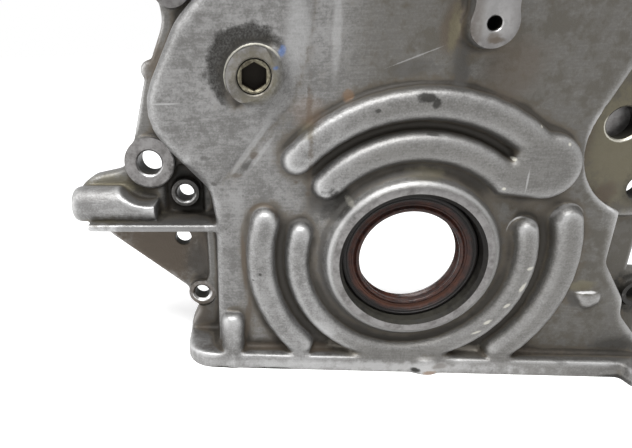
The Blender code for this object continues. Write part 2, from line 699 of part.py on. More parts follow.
def machining():
    """Everything drilled or bored into the casting, and the round recess."""
    made = [crank_bore()]
    reach = RECESS_X + RECESS_RADIUS + RECESS_RIM + THROUGH
    recess = arc(RECESS_X, RECESS_Z, RECESS_RADIUS, 90, 270)
    recess += [(reach, RECESS_Z - RECESS_RADIUS), (reach, RECESS_Z + RECESS_RADIUS)]
    made.append(block("recess", recess, RECESS_FLOOR, SILL_DEPTH + THROUGH))
    socket_floor = RECESS_FLOOR - SOCKET_LENGTH
    made.append(drilled("socket", SOCKET_X, SOCKET_Z, SOCKET_RADIUS, socket_floor, RECESS_FLOOR))
    made.append(drilled("recess_hole", *RECESS_HOLE, -THROUGH, RECESS_FLOOR))
    made.append(drilled("web_hole", *WEB_HOLE, -THROUGH, WEB_THICKNESS))
    made.append(drilled("lug_hole", LUG_X, LUG_Z, LUG_HOLE, -THROUGH, LUG_DEPTH))
    for index, (x, z, _, depth, hole) in enumerate(bosses()):
        made.append(drilled("bolt_hole_%d" % index, x, z, hole, -THROUGH, depth))
    plug_seat = PLUG_BOSS_DEPTH - PLUG_RECESS - PLUG_LENGTH - GAP
    plug_way = PLUG_RADIUS - PLUG_SEAT
    made.append(drilled("plug_bore", PLUG_X, PLUG_Z, PLUG_RADIUS + GAP, plug_seat, PLUG_BOSS_DEPTH))
    made.append(drilled("plug_way", PLUG_X, PLUG_Z, plug_way, 0, plug_seat + GAP, GAP))
    screw_end = TOP_BOSS_DEPTH - TOP_BOSS_SCREW_LENGTH
    made.append(drilled("top_screw", TOP_BOSS_X, TOP_BOSS_Z, TOP_BOSS_SCREW, screw_end, TOP_BOSS_DEPTH))
    stub_hole = circle(STUB_DEPTH, STUB_Z, STUB_BORE)
    stub_end = STUB_END + STUB_BORE_LENGTH
    made.append(block("stub_bore", stub_hole, STUB_END - THROUGH, stub_end, level=sideways))
    return made + rail_screws()


def cover_casting(look):
    """The whole casting: outside added up, hollowed, given its inner bosses, then machined."""
    casting = block("cover_casting", joint_outline(), 0, JOINT_THICKNESS, 0.0008)
    body = block("body", body_outline(), BLEND, BODY_DEPTH, BODY_EDGE)
    disc = circle(RECESS_X, RECESS_Z, RECESS_RADIUS + RECESS_RIM)
    floor_disc = block("recess_floor", disc, 0, RECESS_FLOOR + OVERLAP, SOFT_EDGE)
    outside = [body, floor_disc, seal_ring()] + rails() + beads() + left_side() + front_pads() + bolt_bosses()
    join(casting, 'UNION', outside)
    join(casting, 'DIFFERENCE', [chain_space()])
    join(casting, 'UNION', inner_parts())
    join(casting, 'DIFFERENCE', machining())
    finish(casting, look)


def seal_body(look):
    """The moulded elastomer: its skin over the case, the face, the dust lip and the sealing lip."""
    back = RING_DEPTH - SEAL_SETBACK - SEAL_WIDTH
    front = RING_DEPTH - SEAL_SETBACK
    outer = SEAL_RADIUS - GAP
    skin = outer - SEAL_SKIN
    face = front - SEAL_FACE
    groove = SPRING_WIRE + GAP
    lip_back = back + SEAL_STEP
    spring_depth = back + SPRING_SETBACK
    edge = back + LIP_SETBACK
    case_back = face - CASE_THICKNESS - GAP
    web = CASE_EYE - GAP
    made = washer("seal_body", [
        (outer, back), (outer, front - SOFT_EDGE), (outer - SOFT_EDGE, front),
        (CASE_EYE + SOFT_EDGE, front), (CASE_EYE, front - SEAL_STEP),
        (LIP_RADIUS + 2 * SEAL_STEP, front - SEAL_STEP), (LIP_RADIUS + SEAL_STEP, front + LEDGE),
        (LIP_RADIUS + LEDGE, front), (LIP_RADIUS, front - SOFT_EDGE),
        (LIP_RADIUS + SEAL_STEP, front - 3 * SEAL_STEP), (LIP_RADIUS + SEAL_STEP, edge + SEAL_STEP),
        (LIP_RADIUS, edge), (LIP_RADIUS + SEAL_STEP, lip_back),
        (SPRING_RADIUS - groove, lip_back), (SPRING_RADIUS - groove, spring_depth),
        (SPRING_RADIUS - groove * 0.72, spring_depth + groove), (SPRING_RADIUS, spring_depth + groove * 1.4),
        (LIP_RADIUS + 2 * SEAL_STEP, spring_depth + 3 * SEAL_STEP), (web - SEAL_STEP, case_back),
        (web, case_back), (web, face), (skin, face), (skin, back),
    ])
    finish(made, look)


def seal_case(look):
    """The steel case that stiffens the seal, an angle ring behind the elastomer's face."""
    back = RING_DEPTH - SEAL_SETBACK - SEAL_WIDTH
    outer = SEAL_RADIUS - GAP - SEAL_SKIN - GAP
    front = RING_DEPTH - SEAL_SETBACK - SEAL_FACE - GAP
    made = washer("seal_case", [
        (outer, back + GAP), (outer, front - MILLED_EDGE), (outer - MILLED_EDGE, front), (CASE_EYE, front),
        (CASE_EYE, front - CASE_THICKNESS), (outer - CASE_THICKNESS, front - CASE_THICKNESS),
        (outer - CASE_THICKNESS, back + GAP),
    ])
    finish(made, look)


def garter_spring(look):
    """The garter spring, as the round of its closed coil."""
    depth = RING_DEPTH - SEAL_SETBACK - SEAL_WIDTH + SPRING_SETBACK
    section = []
    for step in range(8):
        angle = math.tau * step / 8
        section.append((SPRING_RADIUS + SPRING_WIRE * math.cos(angle), depth + SPRING_WIRE * math.sin(angle)))
    made = washer("garter_spring", section, 48)
    finish(made, look, SPRING_SMOOTH)


def screw_plug(look):
    """The headless plug with a hexagon socket, screwed in flush with its boss."""
    front = PLUG_BOSS_DEPTH - PLUG_RECESS
    back = front - PLUG_LENGTH
    made = turned("screw_plug", [
        (PLUG_RADIUS - SOFT_EDGE, back), (PLUG_RADIUS, back + SOFT_EDGE), (PLUG_RADIUS, front - MILLED_EDGE),
        (PLUG_RADIUS - MILLED_EDGE, front),
    ], PLUG_X, PLUG_Z)
    corner = PLUG_HEX / math.sqrt(3)
    sides = []
    for step in range(6):
        angle = math.radians(30 + 60 * step)
        sides.append((PLUG_X + corner * math.cos(angle), PLUG_Z + corner * math.sin(angle)))
    socket = block("plug_socket", sides, front - PLUG_HEX_DEPTH, front + THROUGH)
    join(made, 'DIFFERENCE', [socket])
    finish(made, look)


def main():
    """Model the cover and set it on its sump joint."""
    clear_scene()
    axis = bpy.data.objects.new("crank_axis", None)
    bpy.context.scene.collection.objects.link(axis)
    cast = material("cast_aluminium", (0.50, 0.50, 0.49), 0.45, 0.9)
    rubber = material("seal_elastomer", (0.16, 0.05, 0.035), 0.45, 0.0)
    steel = material("case_steel", (0.35, 0.34, 0.33), 0.4, 1.0)
    plug_steel = material("plug_steel", (0.40, 0.37, 0.31), 0.4, 1.0)
    cover_casting(cast)
    seal_body(rubber)
    seal_case(steel)
    garter_spring(steel)
    screw_plug(plug_steel)
    axis.location = (0.0, SUMP_BOLT_DEPTH, CRANK_HEIGHT)


main()
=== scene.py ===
# %% [markdown]
# # Dressing a timing cover
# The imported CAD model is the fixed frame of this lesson. It has every shape of the cover, but with the
# clean faces of a drawing. A real cover is poured, cooled, machined, run for years in hot oil and dust,
# and then wiped. The cells below follow that order, and this first one loads the frame.

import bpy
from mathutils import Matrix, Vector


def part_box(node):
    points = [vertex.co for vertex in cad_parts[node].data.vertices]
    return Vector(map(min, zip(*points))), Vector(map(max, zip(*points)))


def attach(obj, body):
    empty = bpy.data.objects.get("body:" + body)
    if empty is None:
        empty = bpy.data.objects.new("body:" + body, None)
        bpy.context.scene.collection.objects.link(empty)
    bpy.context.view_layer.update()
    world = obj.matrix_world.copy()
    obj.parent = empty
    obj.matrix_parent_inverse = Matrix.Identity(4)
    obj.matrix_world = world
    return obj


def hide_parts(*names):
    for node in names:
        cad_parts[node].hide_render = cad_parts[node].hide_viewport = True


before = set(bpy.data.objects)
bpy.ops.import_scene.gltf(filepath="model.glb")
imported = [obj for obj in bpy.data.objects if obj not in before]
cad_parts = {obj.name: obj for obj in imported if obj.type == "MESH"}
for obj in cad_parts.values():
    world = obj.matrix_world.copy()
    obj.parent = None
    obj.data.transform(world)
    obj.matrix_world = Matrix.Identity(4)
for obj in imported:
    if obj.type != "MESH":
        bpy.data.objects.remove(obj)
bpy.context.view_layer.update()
print("nodes:", sorted(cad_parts))

# %% [markdown]
# The drawing's own datums are the block joint and the crank axis. Both can be read from the frame: the
# casting's rearmost face is the block joint, and the seal's box is centred on the crank axis.

# %% Datums
import math

import bmesh
import bpy
import numpy as np
from mathutils import Matrix, Vector

BLOCK_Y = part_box("cover_casting")[1].y
HEAD_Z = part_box("cover_casting")[1].z
CRANK_Z = (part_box("seal_body")[0].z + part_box("seal_body")[1].z) / 2
FORWARD = (0, -1, 0)
UP = (0, 0, 1)
RIGHTWARD = (1, 0, 0)
MM = 0.001


def place(x, z, depth):
    """A point in the frame, from millimetres: x and z from the crank axis, depth from the block joint."""
    return Vector((x * MM, BLOCK_Y - depth * MM, CRANK_Z + z * MM))


def show(name, data):
    """Put new data into the scene as an object."""
    made = bpy.data.objects.new(name, data)
    bpy.context.scene.collection.objects.link(made)
    return made


print("block joint at y %.4f, crank axis at z %.4f" % (BLOCK_Y, CRANK_Z))

# %% [markdown]
# The camera stands in front of the cover, a little to the left of the seal, and looks down on it by about
# 21 degrees. The photograph is a crop from the right of a wider view, so the lens is shifted sideways
# instead of being turned: that keeps the upright edges leaning as they do in the picture.

# %% Camera
CAMERA_RIGHT = (0.99623, 0.08096, -0.03117)
CAMERA_UP = (0.0, 0.35928, 0.93323)
CAMERA_BACK = (0.08675, -0.92971, 0.35792)
CAMERA_SPOT = (-0.06233, -0.1972, 0.14526)

camera = show("camera", bpy.data.cameras.new("camera"))
camera_turn = Matrix((CAMERA_RIGHT, CAMERA_UP, CAMERA_BACK)).transposed().to_4x4()
camera.matrix_world = Matrix.Translation(CAMERA_SPOT) @ camera_turn
camera.data.lens = 28.39
camera.data.sensor_width = 36
camera.data.shift_x = 0.158
bpy.context.scene.camera = camera
bpy.context.scene.view_settings.view_transform = "Standard"
print("camera at", tuple(round(v, 3) for v in camera.location))

# %% [markdown]
# Shader trees are easier to read when one line makes one node. These helpers add a node and fill its
# inputs: a number or colour is typed in, and another node's output is linked.


# %% Helpers for shader nodes
def fill(tree, sockets, inputs):
    """Fill inputs. Each gets a number, a colour, or the output of another node."""
    for key, value in inputs.items():
        if isinstance(value, bpy.types.NodeSocket):
            tree.links.new(value, sockets[key])
        else:
            sockets[key].default_value = value


def add(tree, kind, inputs=None, **settings):
    """One shader node."""
    made = tree.nodes.new("ShaderNode" + kind)
    for name, value in settings.items():
        setattr(made, name, value)
    fill(tree, made.inputs, inputs or {})
    return made


def maths(tree, operation, first, second=0.0, clamp=False):
    """The output of one Math node."""
    return add(tree, "Math", {0: first, 1: second}, operation=operation, use_clamp=clamp).outputs[0]


def times(tree, first, second):
    """The product of two values."""
    return maths(tree, "MULTIPLY", first, second)


def minus(tree, first, second):
    """The difference of two values."""
    return maths(tree, "SUBTRACT", first, second)


def plus(tree, total, *values):
    """The sum of all values."""
    for value in values:
        total = maths(tree, "ADD", total, value)
    return total


def vectors(tree, operation, first, second=None, output="Vector"):
    """The output of one Vector Math node."""
    given = {0: first} if second is None else {0: first, 1: second}
    return add(tree, "VectorMath", given, operation=operation).outputs[output]


def spot_in(tree):
    """The place of the shaded point, in metres."""
    return add(tree, "TexCoord").outputs["Object"]


def part_of(tree, vector, axis):
    """One of a vector's three numbers."""
    return add(tree, "SeparateXYZ", {0: vector}).outputs[axis]


def facing(tree, axis):
    """How much a face looks along an axis, from -1 to 1."""
    return part_of(tree, add(tree, "NewGeometry").outputs["Normal"], axis)


def from_centre(tree, spot, centre):
    """The offset from a centre, the same without its depth, and the length of that."""
    offset = vectors(tree, "SUBTRACT", spot, centre)
    flat = vectors(tree, "MULTIPLY", offset, (1, 0, 1))
    return offset, flat, vectors(tree, "LENGTH", flat, output="Value")


def ramp(tree, value, low, high, to_low=0.0, to_high=1.0):
    """A value taken smoothly from one range to another."""
    limits = {"Value": value, "From Min": low, "From Max": high, "To Min": to_low, "To Max": to_high}
    return add(tree, "MapRange", limits, interpolation_type="SMOOTHSTEP").outputs["Result"]


def layer(tree, mask, below, colour, label=""):
    """Lay a colour over what is below, by a mask."""
    both = [value if isinstance(value, bpy.types.NodeSocket) else (*value, 1) for value in (below, colour)]
    sockets = {"Factor": mask, 6: both[0], 7: both[1]}
    return add(tree, "Mix", sockets, data_type="RGBA", label=label).outputs[2]


def bumps(tree, height, strength, distance):
    """A normal that follows a height; the distance is in millimetres."""
    inputs = {"Height": height, "Strength": strength, "Distance": distance * MM}
    return add(tree, "Bump", inputs).outputs[0]


def new_material(name):
    """A new material, its node tree, and the inputs of its shader."""
    made = bpy.data.materials.new(name)
    made.use_nodes = True
    return made, made.node_tree, made.node_tree.nodes["Principled BSDF"].inputs


def white_rays(tree):
    """1 for the rays that should meet the white of the backdrop: camera, glossy and transmission."""
    light_path = add(tree, "LightPath").outputs
    seen = maths(tree, "MAXIMUM", light_path["Is Camera Ray"], light_path["Is Glossy Ray"])
    return maths(tree, "MAXIMUM", seen, light_path["Is Transmission Ray"])


print("helpers ready")

# %% [markdown]
# A white sweep in a studio is one sheet of paper for floor and wall. Here a pale floor takes the shadow,
# and the world beyond it is white to the camera and in reflections, but plainer as a light. The paper's
# own white grows with the distance from the cover, so it runs into the white of the world without a line.

# %% Floor and world
FLOOR_SIZE = 8.0
FLOOR_LIFT = 0.50
SHADOW_REACH = 0.35
FLOOR_END = 1.3
SKY_STRENGTH = 0.32
PAPER = (0.82, 0.82, 0.82, 1)
WHITE = (1, 1, 1, 1)

half = FLOOR_SIZE / 2
corners = [(-half, -half, 0), (half, -half, 0), (half, half, 0), (-half, half, 0)]
floor_mesh = bpy.data.meshes.new("floor")
floor_mesh.from_pydata(corners, [], [(0, 1, 2, 3)])
show("floor", floor_mesh)

paper, tree, shader = new_material("white_paper")
away = vectors(tree, "LENGTH", spot_in(tree), output="Value")
lift = ramp(tree, away, SHADOW_REACH, FLOOR_END, FLOOR_LIFT, 1.0)
fill(tree, shader, {
    "Base Color": PAPER, "Roughness": 0.9, "Specular IOR Level": 0.0, "Emission Color": WHITE,
    "Emission Strength": times(tree, white_rays(tree), lift),
})
floor_mesh.materials.append(paper)

world = bpy.data.worlds.new("studio")
bpy.context.scene.world = world
world.use_nodes = True
tree = world.node_tree
strength = add(tree, "MapRange", {"Value": white_rays(tree), "To Min": SKY_STRENGTH, "To Max": 1.0})
fill(tree, tree.nodes["Background"].inputs, {"Color": WHITE, "Strength": strength.outputs["Result"]})
print("white floor of %.0f m under a white world" % FLOOR_SIZE)

# %% [markdown]
# The light in the picture comes from a wide soft source overhead, with a weaker one from the left: the
# upper shoulders of the beads shine, and the left bevel of the panel is bright. Metal shows its form by
# what it reflects, so the lamps are large sheets rather than points.

# %% Lamps
# Name, place, aim, width and height in metres, and power in watts.
LAMPS = (
    ("overhead", (-0.15, -0.45, 1.15), (0.0, 0.0, 0.08), (1.1, 0.5), 21.5),
    ("left_fill", (-1.2, -0.35, 0.35), (0.0, 0.0, 0.08), (0.5, 0.8), 4.5),
)
for name, where, aim, (width, height), power in LAMPS:
    lamp = bpy.data.lights.new(name, "AREA")
    lamp.shape = "RECTANGLE"
    lamp.size, lamp.size_y = width, height
    lamp.energy = power
    holder = show(name, lamp)
    holder.location = where
    holder.rotation_mode = "QUATERNION"
    holder.rotation_quaternion = (Vector(aim) - Vector(where)).to_track_quat("-Z", "Y")
print("lamps:", [row[0] for row in LAMPS])

# %% [markdown]
# Nearly every round form on the cover can be turned on a lathe: a section of (radius, distance) steps is
# swept about a line. The same helper makes blanks to be cast on, cutters to drill with, and the seal.


# %% Helper for turned shapes
def turn(work, section, origin, axis=FORWARD, sides=48, ring=False):
    """Add a shape turned about an axis to a bmesh, from (radius, distance) steps in millimetres."""
    along = Vector(axis).normalized()
    across = along.orthogonal().normalized()
    other = along.cross(across)
    levels = []
    for radius, distance in section:
        centre = Vector(origin) + along * distance * MM
        points = []
        for side in range(sides):
            angle = math.tau * side / sides
            points.append(work.verts.new(
                centre + (across * math.cos(angle) + other * math.sin(angle)) * radius * MM))
        levels.append(points)
    made = []
    pairs = list(zip(levels, levels[1:])) + ([(levels[-1], levels[0])] if ring else [])
    for lower, upper in pairs:
        for side in range(sides):
            after = (side + 1) % sides
            made.append(work.faces.new((lower[side], lower[after], upper[after], upper[side])))
    if not ring:
        made += [work.faces.new(levels[0][::-1]), work.faces.new(levels[-1])]
    bmesh.ops.recalc_face_normals(work, faces=made)


def slab(work, low, high):
    """Add a rectangular block between two corners."""
    made = bmesh.ops.create_cube(work, size=1.0)
    middle, span = (Vector(low) + Vector(high)) / 2, Vector(abs(b - a) for a, b in zip(low, high))
    for vert in made["verts"]:
        vert.co = middle + Vector(a * b for a, b in zip(vert.co, span))


def as_object(work, name):
    """Turn a bmesh into an object of the scene."""
    mesh = bpy.data.meshes.new(name)
    work.to_mesh(mesh)
    work.free()
    return show(name, mesh)


def settle(piece):
    """Apply a piece's modifiers to its mesh."""
    graph = bpy.context.evaluated_depsgraph_get()
    mesh = bpy.data.meshes.new_from_object(piece.evaluated_get(graph))
    piece.modifiers.clear()
    piece.data = mesh


def triangles(piece):
    """How many triangles a piece has."""
    return sum(len(face.vertices) - 2 for face in piece.data.polygons)


print("lathe ready")

# %% [markdown]
# Where the holes and bosses are, in millimetres from the crank axis. The drilled ones are listed once,
# because each of them is first filled and given stock, and later faced and drilled.

# %% Holes and bosses
# x, z, boss radius, depth of the boss's face, hole radius, depth where the hole starts, countersink.
BOSSES = {
    "lug": (-110.8, 37.5, 11.4, 11.5, 5.5, -2, 0.7),
    "pocket_boss": (-95.8, 23.1, 6.4, 9.5, 3.9, -2, 0.8),
    "lower_left_boss": (-90.4, -28.6, 6.5, 8, 3.6, -2, 0.9),
    "right_boss": (105.6, -24.4, 6.2, 12, 3.8, -2, 0.6),
    "upper_left_boss": (-96.8, 108, 8, 11, 3.6, -2, 0.6),
    "upper_right_boss": (98, 105, 8, 11, 3.6, -2, 0.6),
    "plug_boss": (-64.4, 74.7, 10.75, 32, 6.6, 21.1, 0.5),
    "top_boss": (18.2, 90.4, 8.4, 32, 2.5, 17, 0.4),
}
# The same for holes in plain faces, which have no boss to be faced.
PLAIN_HOLES = {
    "web_hole": (-98.6, -0.4, 5, 3.8, -2, 0.4),
    "recess_hole": (95.6, 24.6, 11, 5.2, -2, 0.6),
    "recess_socket": (82.6, 51.6, 11, 6.5, 4, 0.7),
}
PLUG = BOSSES["plug_boss"][:2]
# The neck over the top boss, with a face as deep as the boss's.
NECK_LEFT, NECK_RIGHT, NECK_FOOT, NECK_TOP = 10.8, 25.6, 90.4, 121.0
TOP_FACE = 32
# x, depth and length of the screw holes in the lower and upper joint face.
SILL_SCREWS = ((-74.5, 26.3, 14.0), (11.5, 26.0, 5.7), (104.0, 33.0, 5.7))
HEAD_SCREWS = ((-60.0, 23.0, 6.5), (-20.0, 23.0, 6.5), (60.0, 23.0, 6.5))
RAIL_SCREW_RADIUS = 2.5
STUB_END = place(-146.0, 19.5, 13.5)
STUB_BORE = 4.5
STUB_LENGTH = 24.0
RING_FACE = 33.0
SHOULDER_RADIUS = 25.5
SEAL_SEAT = 18.7
SEAL_BORE = 28.0
BORE_CHAMFER = 1.4
AXIS = place(0, 0, 0)


def in_rail(x, depth, height):
    """Where a screw hole starts in the joint face at a height in metres."""
    return x * MM, BLOCK_Y - depth * MM, height


print(len(BOSSES), "bosses and", len(PLAIN_HOLES), "plain holes")

# %% [markdown]
# A foundry leaves stock: extra metal where a cutter will later make a flat face, and no holes at all.
# The blank here is the CAD casting with its joint faces moved out by 1.5 mm and every hole filled. The
# fillings only overlap the casting, because the next step melts everything into one skin. Two turned
# fillings round off places that the drawing leaves angular: the foot of the seal ring and the crown's pad.

# %% The blank, with machining stock
STOCK = 1.5
WELD = 1e-6
NEAR = 1e-5
FILL = 0.9
# How far a filling stays under the stock of a joint face.
SUNK = 0.2
RING_FOOT = (
    (30, 20), (46.5, 20), (46, 24.3), (43, 25.2), (40.5, 26.0), (37.8, 26.8), (36.0, 27.8), (35.1, 29.4),
    (34.5, 31.2), (33.6, 32.3), (32.4, 32.9), (30, 33),
)
CROWN_PAD = (47, 38.4)
PAD_SECTION = ((13.2, 20), (13.2, 26.5), (12.7, 28.6), (11.6, 30.0), (10, 30.7), (8, 30.8))


def rod(work, radius, start, end, origin, axis=FORWARD, sides=48):
    """Add a plain rod between two distances along an axis."""
    turn(work, [(radius, start), (radius, end)], origin, axis, sides)


work = bmesh.new()
work.from_mesh(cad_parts["cover_casting"].data)
bmesh.ops.remove_doubles(work, verts=work.verts, dist=WELD)
for vert in work.verts:
    if vert.co.y > BLOCK_Y - NEAR:
        vert.co.y += STOCK * MM
    if vert.co.z < NEAR:
        vert.co.z -= STOCK * MM
    if vert.co.z > HEAD_Z - NEAR:
        vert.co.z += STOCK * MM

for x, z, radius, face, hole, start, _ in BOSSES.values():
    rod(work, radius, face - 2, face + STOCK, place(x, z, 0))
    rod(work, hole + FILL, max(start - 1, SUNK - STOCK), face - 1, place(x, z, 0))
rod(work, 6.2, 12.4, 22.0, place(*PLUG, 0))
for x, z, face, hole, start, _ in PLAIN_HOLES.values():
    rod(work, hole + FILL, max(start - 1, SUNK - STOCK), face - 0.2, place(x, z, 0))
slab(work, place(NECK_LEFT, NECK_FOOT, 30), place(NECK_RIGHT, NECK_TOP, TOP_FACE + STOCK))
for x, depth, length in SILL_SCREWS:
    rod(work, RAIL_SCREW_RADIUS + FILL, SUNK - STOCK, length + 0.5, in_rail(x, depth, 0), UP)
for x, depth, length in HEAD_SCREWS:
    rod(work, RAIL_SCREW_RADIUS + FILL, -length - 0.4, STOCK - SUNK, in_rail(x, depth, HEAD_Z), UP)
rod(work, STUB_BORE + FILL, 0.6, STUB_LENGTH + 1, STUB_END, RIGHTWARD)
rod(work, SEAL_BORE + 2.5, 16.5, RING_FACE + STOCK, AXIS, sides=96)
turn(work, RING_FOOT, AXIS, sides=128, ring=True)
turn(work, PAD_SECTION, place(*CROWN_PAD, 0), sides=72)
casting = as_object(work, "casting")
print("blank of", triangles(casting), "triangles, with", STOCK, "mm of stock")

# %% [markdown]
# Sand and die castings have no sharp inner corners: metal flows round in a fillet. Bevels in CAD can't
# give that look where many forms run together. A voxel remesh turns the blank into one even skin, and
# relaxing that skin a few times, each point moving towards the middle of its neighbours, leaves soft
# fillets. Relaxing alone also wears ridges down, so a move into the metal counts for only a part of one
# that fills a hollow. The panel's long fold is a broad slope in the photo, so it is relaxed for longer.

# %% One skin with soft fillets
VOXEL = 0.75 * MM
FILLET_STEPS = 14
ERODE_SHARE = 0.4
EVEN_STEPS = 3
# The share of the way to its neighbours' middle that a point goes in one step.
FREEDOM = 0.5
SHELF_FREEDOM = 0.12
SILL_FREEDOM = 0.2
FOLD = ((-90.0, 33.0), (-56.0, 68.0), (-50.5, 92.0), (-50.5, 118.0))
FOLD_REACH = (3.5, 7.5)
FOLD_STEPS = 220


def vertices_of(mesh, name):
    """The positions ("co") or normals ("normal") of all vertices as an array."""
    found = np.empty(len(mesh.vertices) * 3)
    mesh.vertices.foreach_get(name, found)
    return found.reshape(-1, 3)


def edges_of(mesh):
    """All edges as an array of vertex pairs."""
    found = np.empty(len(mesh.edges) * 2, dtype=np.int64)
    mesh.edges.foreach_get("vertices", found)
    return found.reshape(-1, 2)


def neighbour_mean(points, pairs, count):
    """For each vertex, the mean of its neighbours' values."""
    total = np.empty_like(points)
    for axis in range(points.shape[1]):
        total[:, axis] = np.bincount(pairs[:, 0], points[pairs[:, 1], axis], count)
        total[:, axis] += np.bincount(pairs[:, 1], points[pairs[:, 0], axis], count)
    return total / np.bincount(pairs.ravel(), minlength=count)[:, None]


def move_points(mesh, points):
    """Put the points back into the mesh."""
    mesh.vertices.foreach_set("co", points.ravel())
    mesh.update()


def distance_to_line(x, z, line):
    """How far points are from a line of straight stretches."""
    nearest = np.full(len(x), 1e9)
    for (x0, z0), (x1, z1) in zip(line, line[1:]):
        run_x, run_z = x1 - x0, z1 - z0
        along = np.clip(((x - x0) * run_x + (z - z0) * run_z) / (run_x ** 2 + run_z ** 2), 0, 1)
        nearest = np.minimum(nearest, np.hypot(x - x0 - along * run_x, z - z0 - along * run_z))
    return nearest


remesh = casting.modifiers.new("one_skin", "REMESH")
remesh.mode = "VOXEL"
remesh.voxel_size = VOXEL
settle(casting)

points, pairs = vertices_of(casting.data, "co"), edges_of(casting.data)
count = len(points)
x, depth, z = points[:, 0] / MM, (BLOCK_Y - points[:, 1]) / MM, (points[:, 2] - CRANK_Z) / MM
freedom = np.full(count, FREEDOM)
on_shelf = (x < -79) & (z > 8) & (z < 14.2) & (depth > 10)
on_sill = (z < -46.2) & (depth > 24) & (x < 88) & (abs(x - 11.5) > 14)
freedom[on_shelf] = SHELF_FREEDOM
freedom[on_sill] = SILL_FREEDOM
for _ in range(FILLET_STEPS):
    step = freedom[:, None] * (neighbour_mean(points, pairs, count) - points)
    inward = (step * vertices_of(casting.data, "normal")).sum(axis=1) < 0
    step[inward] *= ERODE_SHARE
    points += step
    move_points(casting.data, points)
for _ in range(EVEN_STEPS):
    points += freedom[:, None] * (neighbour_mean(points, pairs, count) - points)

near, far = FOLD_REACH
weight = np.clip((far - distance_to_line(x, z, FOLD)) / (far - near), 0, 1)
weight[depth < 21] = 0
folded = np.unique(pairs[(weight[pairs] > 0).any(axis=1)])
place_of = np.full(count, -1)
place_of[folded] = np.arange(len(folded))
near_pairs = place_of[pairs]
near_pairs = near_pairs[(near_pairs >= 0).all(axis=1)]
part, share = points[folded], FREEDOM * weight[folded][:, None]
for _ in range(FOLD_STEPS):
    part += share * (neighbour_mean(part, near_pairs, len(folded)) - part)
points[folded] = part
move_points(casting.data, points)
print("skin of", count, "points, of which", len(folded), "lie along the fold")

# %% [markdown]
# Dirt lies in hollows, and wear and a painted highlight go on ridges, so the material has to know which is
# which. A much relaxed copy of the skin tells: where it stands proud of the real skin there is a hollow,
# and where it sinks below there is a ridge. A short relaxing finds corners, and a long one finds whole
# valleys. The two measures are kept on the mesh as attributes, which shaders can read.

# %% Hollows and ridges
FINE_STEPS = 24
BROAD_STEPS = 170
RELAX_SHARE = 0.6

normals = vertices_of(casting.data, "normal")
relaxed = points.copy()
for step in range(BROAD_STEPS):
    relaxed += RELAX_SHARE * (neighbour_mean(relaxed, pairs, count) - relaxed)
    if step + 1 == FINE_STEPS:
        corner = ((relaxed - points) * normals).sum(axis=1) / MM
valley = ((relaxed - points) * normals).sum(axis=1) / MM
for name, values in (("corner", corner), ("valley", valley)):
    attribute = casting.data.attributes.new(name, "FLOAT", "POINT")
    attribute.data.foreach_set("value", values.astype(np.float32))
    print(name, "from %.2f to %.2f mm" % (values.min(), values.max()))

# %% [markdown]
# The even skin has far more faces than its flats need. Collapsing edges keeps them where the surface
# bends. Then the cover goes to the machine shop: cutters take the joint faces, the boss faces, the seal
# bore and all holes, and leave the crisp edges that tell a machined face from a cast one. Each cutter's
# faces are marked, 1 for a milled face or chamfer and 2 for the wall of a hole, and the mark passes to
# the faces it cuts.

# %% The machine shop
KEPT_SHARE = 0.30
BOLD = 0.35
WALL_SLANT = 0.4
RING_SLANT = 0.8
RING_FACING = 35.5
CLEAR = 4
BROKEN_EDGE = 0.4
# Corners of the milling cuts, in metres.
MILLS = (
    ("block_mill", (-0.3, BLOCK_Y, -0.1), (0.3, BLOCK_Y + 0.01, 0.3)),
    ("sump_mill", (-0.3, -0.1, -0.01), (0.3, 0.1, 0.0)),
    ("head_mill", (-0.3, -0.1, HEAD_Z), (0.3, 0.1, HEAD_Z + 0.01)),
    ("neck_mill", place(NECK_LEFT - 1, NECK_FOOT, TOP_FACE),
     place(NECK_RIGHT + 1, NECK_TOP, TOP_FACE + CLEAR)),
)

thin = casting.modifiers.new("fewer_faces", "DECIMATE")
thin.ratio = KEPT_SHARE
settle(casting)
casting.data.attributes.new("machined", "FLOAT", "FACE")


def cut(name, work, axis=None, slant=WALL_SLANT):
    """Take a cutter out of the casting; faces along its axis, if it has one, are the walls of holes."""
    tool = as_object(work, name)
    marks = [2.0 if axis and abs(face.normal.dot(Vector(axis))) < slant else 1.0
             for face in tool.data.polygons]
    tool.data.attributes.new("machined", "FLOAT", "FACE").data.foreach_set("value", marks)
    boolean = casting.modifiers.new(name, "BOOLEAN")
    boolean.operation = "DIFFERENCE"
    boolean.solver = "MANIFOLD"
    boolean.object = tool
    settle(casting)
    bpy.data.objects.remove(tool)


for name, low, high in MILLS:
    work = bmesh.new()
    slab(work, low, high)
    cut(name, work)

work = bmesh.new()
for x, z, radius, face, hole, start, sink in BOSSES.values():
    turn(work, [(hole, start), (hole, face - sink), (hole + sink, face), (radius + BOLD, face),
                (radius + BOLD, face + CLEAR)], place(x, z, 0))
cut("spot_facers", work, FORWARD)

work = bmesh.new()
turn(work, [(SHOULDER_RADIUS, -2), (SHOULDER_RADIUS, SEAL_SEAT), (SEAL_BORE, SEAL_SEAT),
            (SEAL_BORE, RING_FACE - BORE_CHAMFER), (SEAL_BORE + BORE_CHAMFER, RING_FACE),
            (RING_FACING, RING_FACE), (RING_FACING, RING_FACE + CLEAR)], AXIS, sides=128)
# The bore's chamfer counts as wall here, so it takes the near-black hole finish: painted shade.
cut("boring_bar", work, FORWARD, RING_SLANT)

work = bmesh.new()
for x, z, face, hole, start, sink in PLAIN_HOLES.values():
    mouth = hole + sink + 0.1
    turn(work, [(hole, start), (hole, face - sink), (mouth, face + 0.1), (mouth, face + 1)], place(x, z, 0))
rod(work, 5.3, 5.0, 22.0, place(*PLUG, 0))
cut("drills", work, FORWARD)

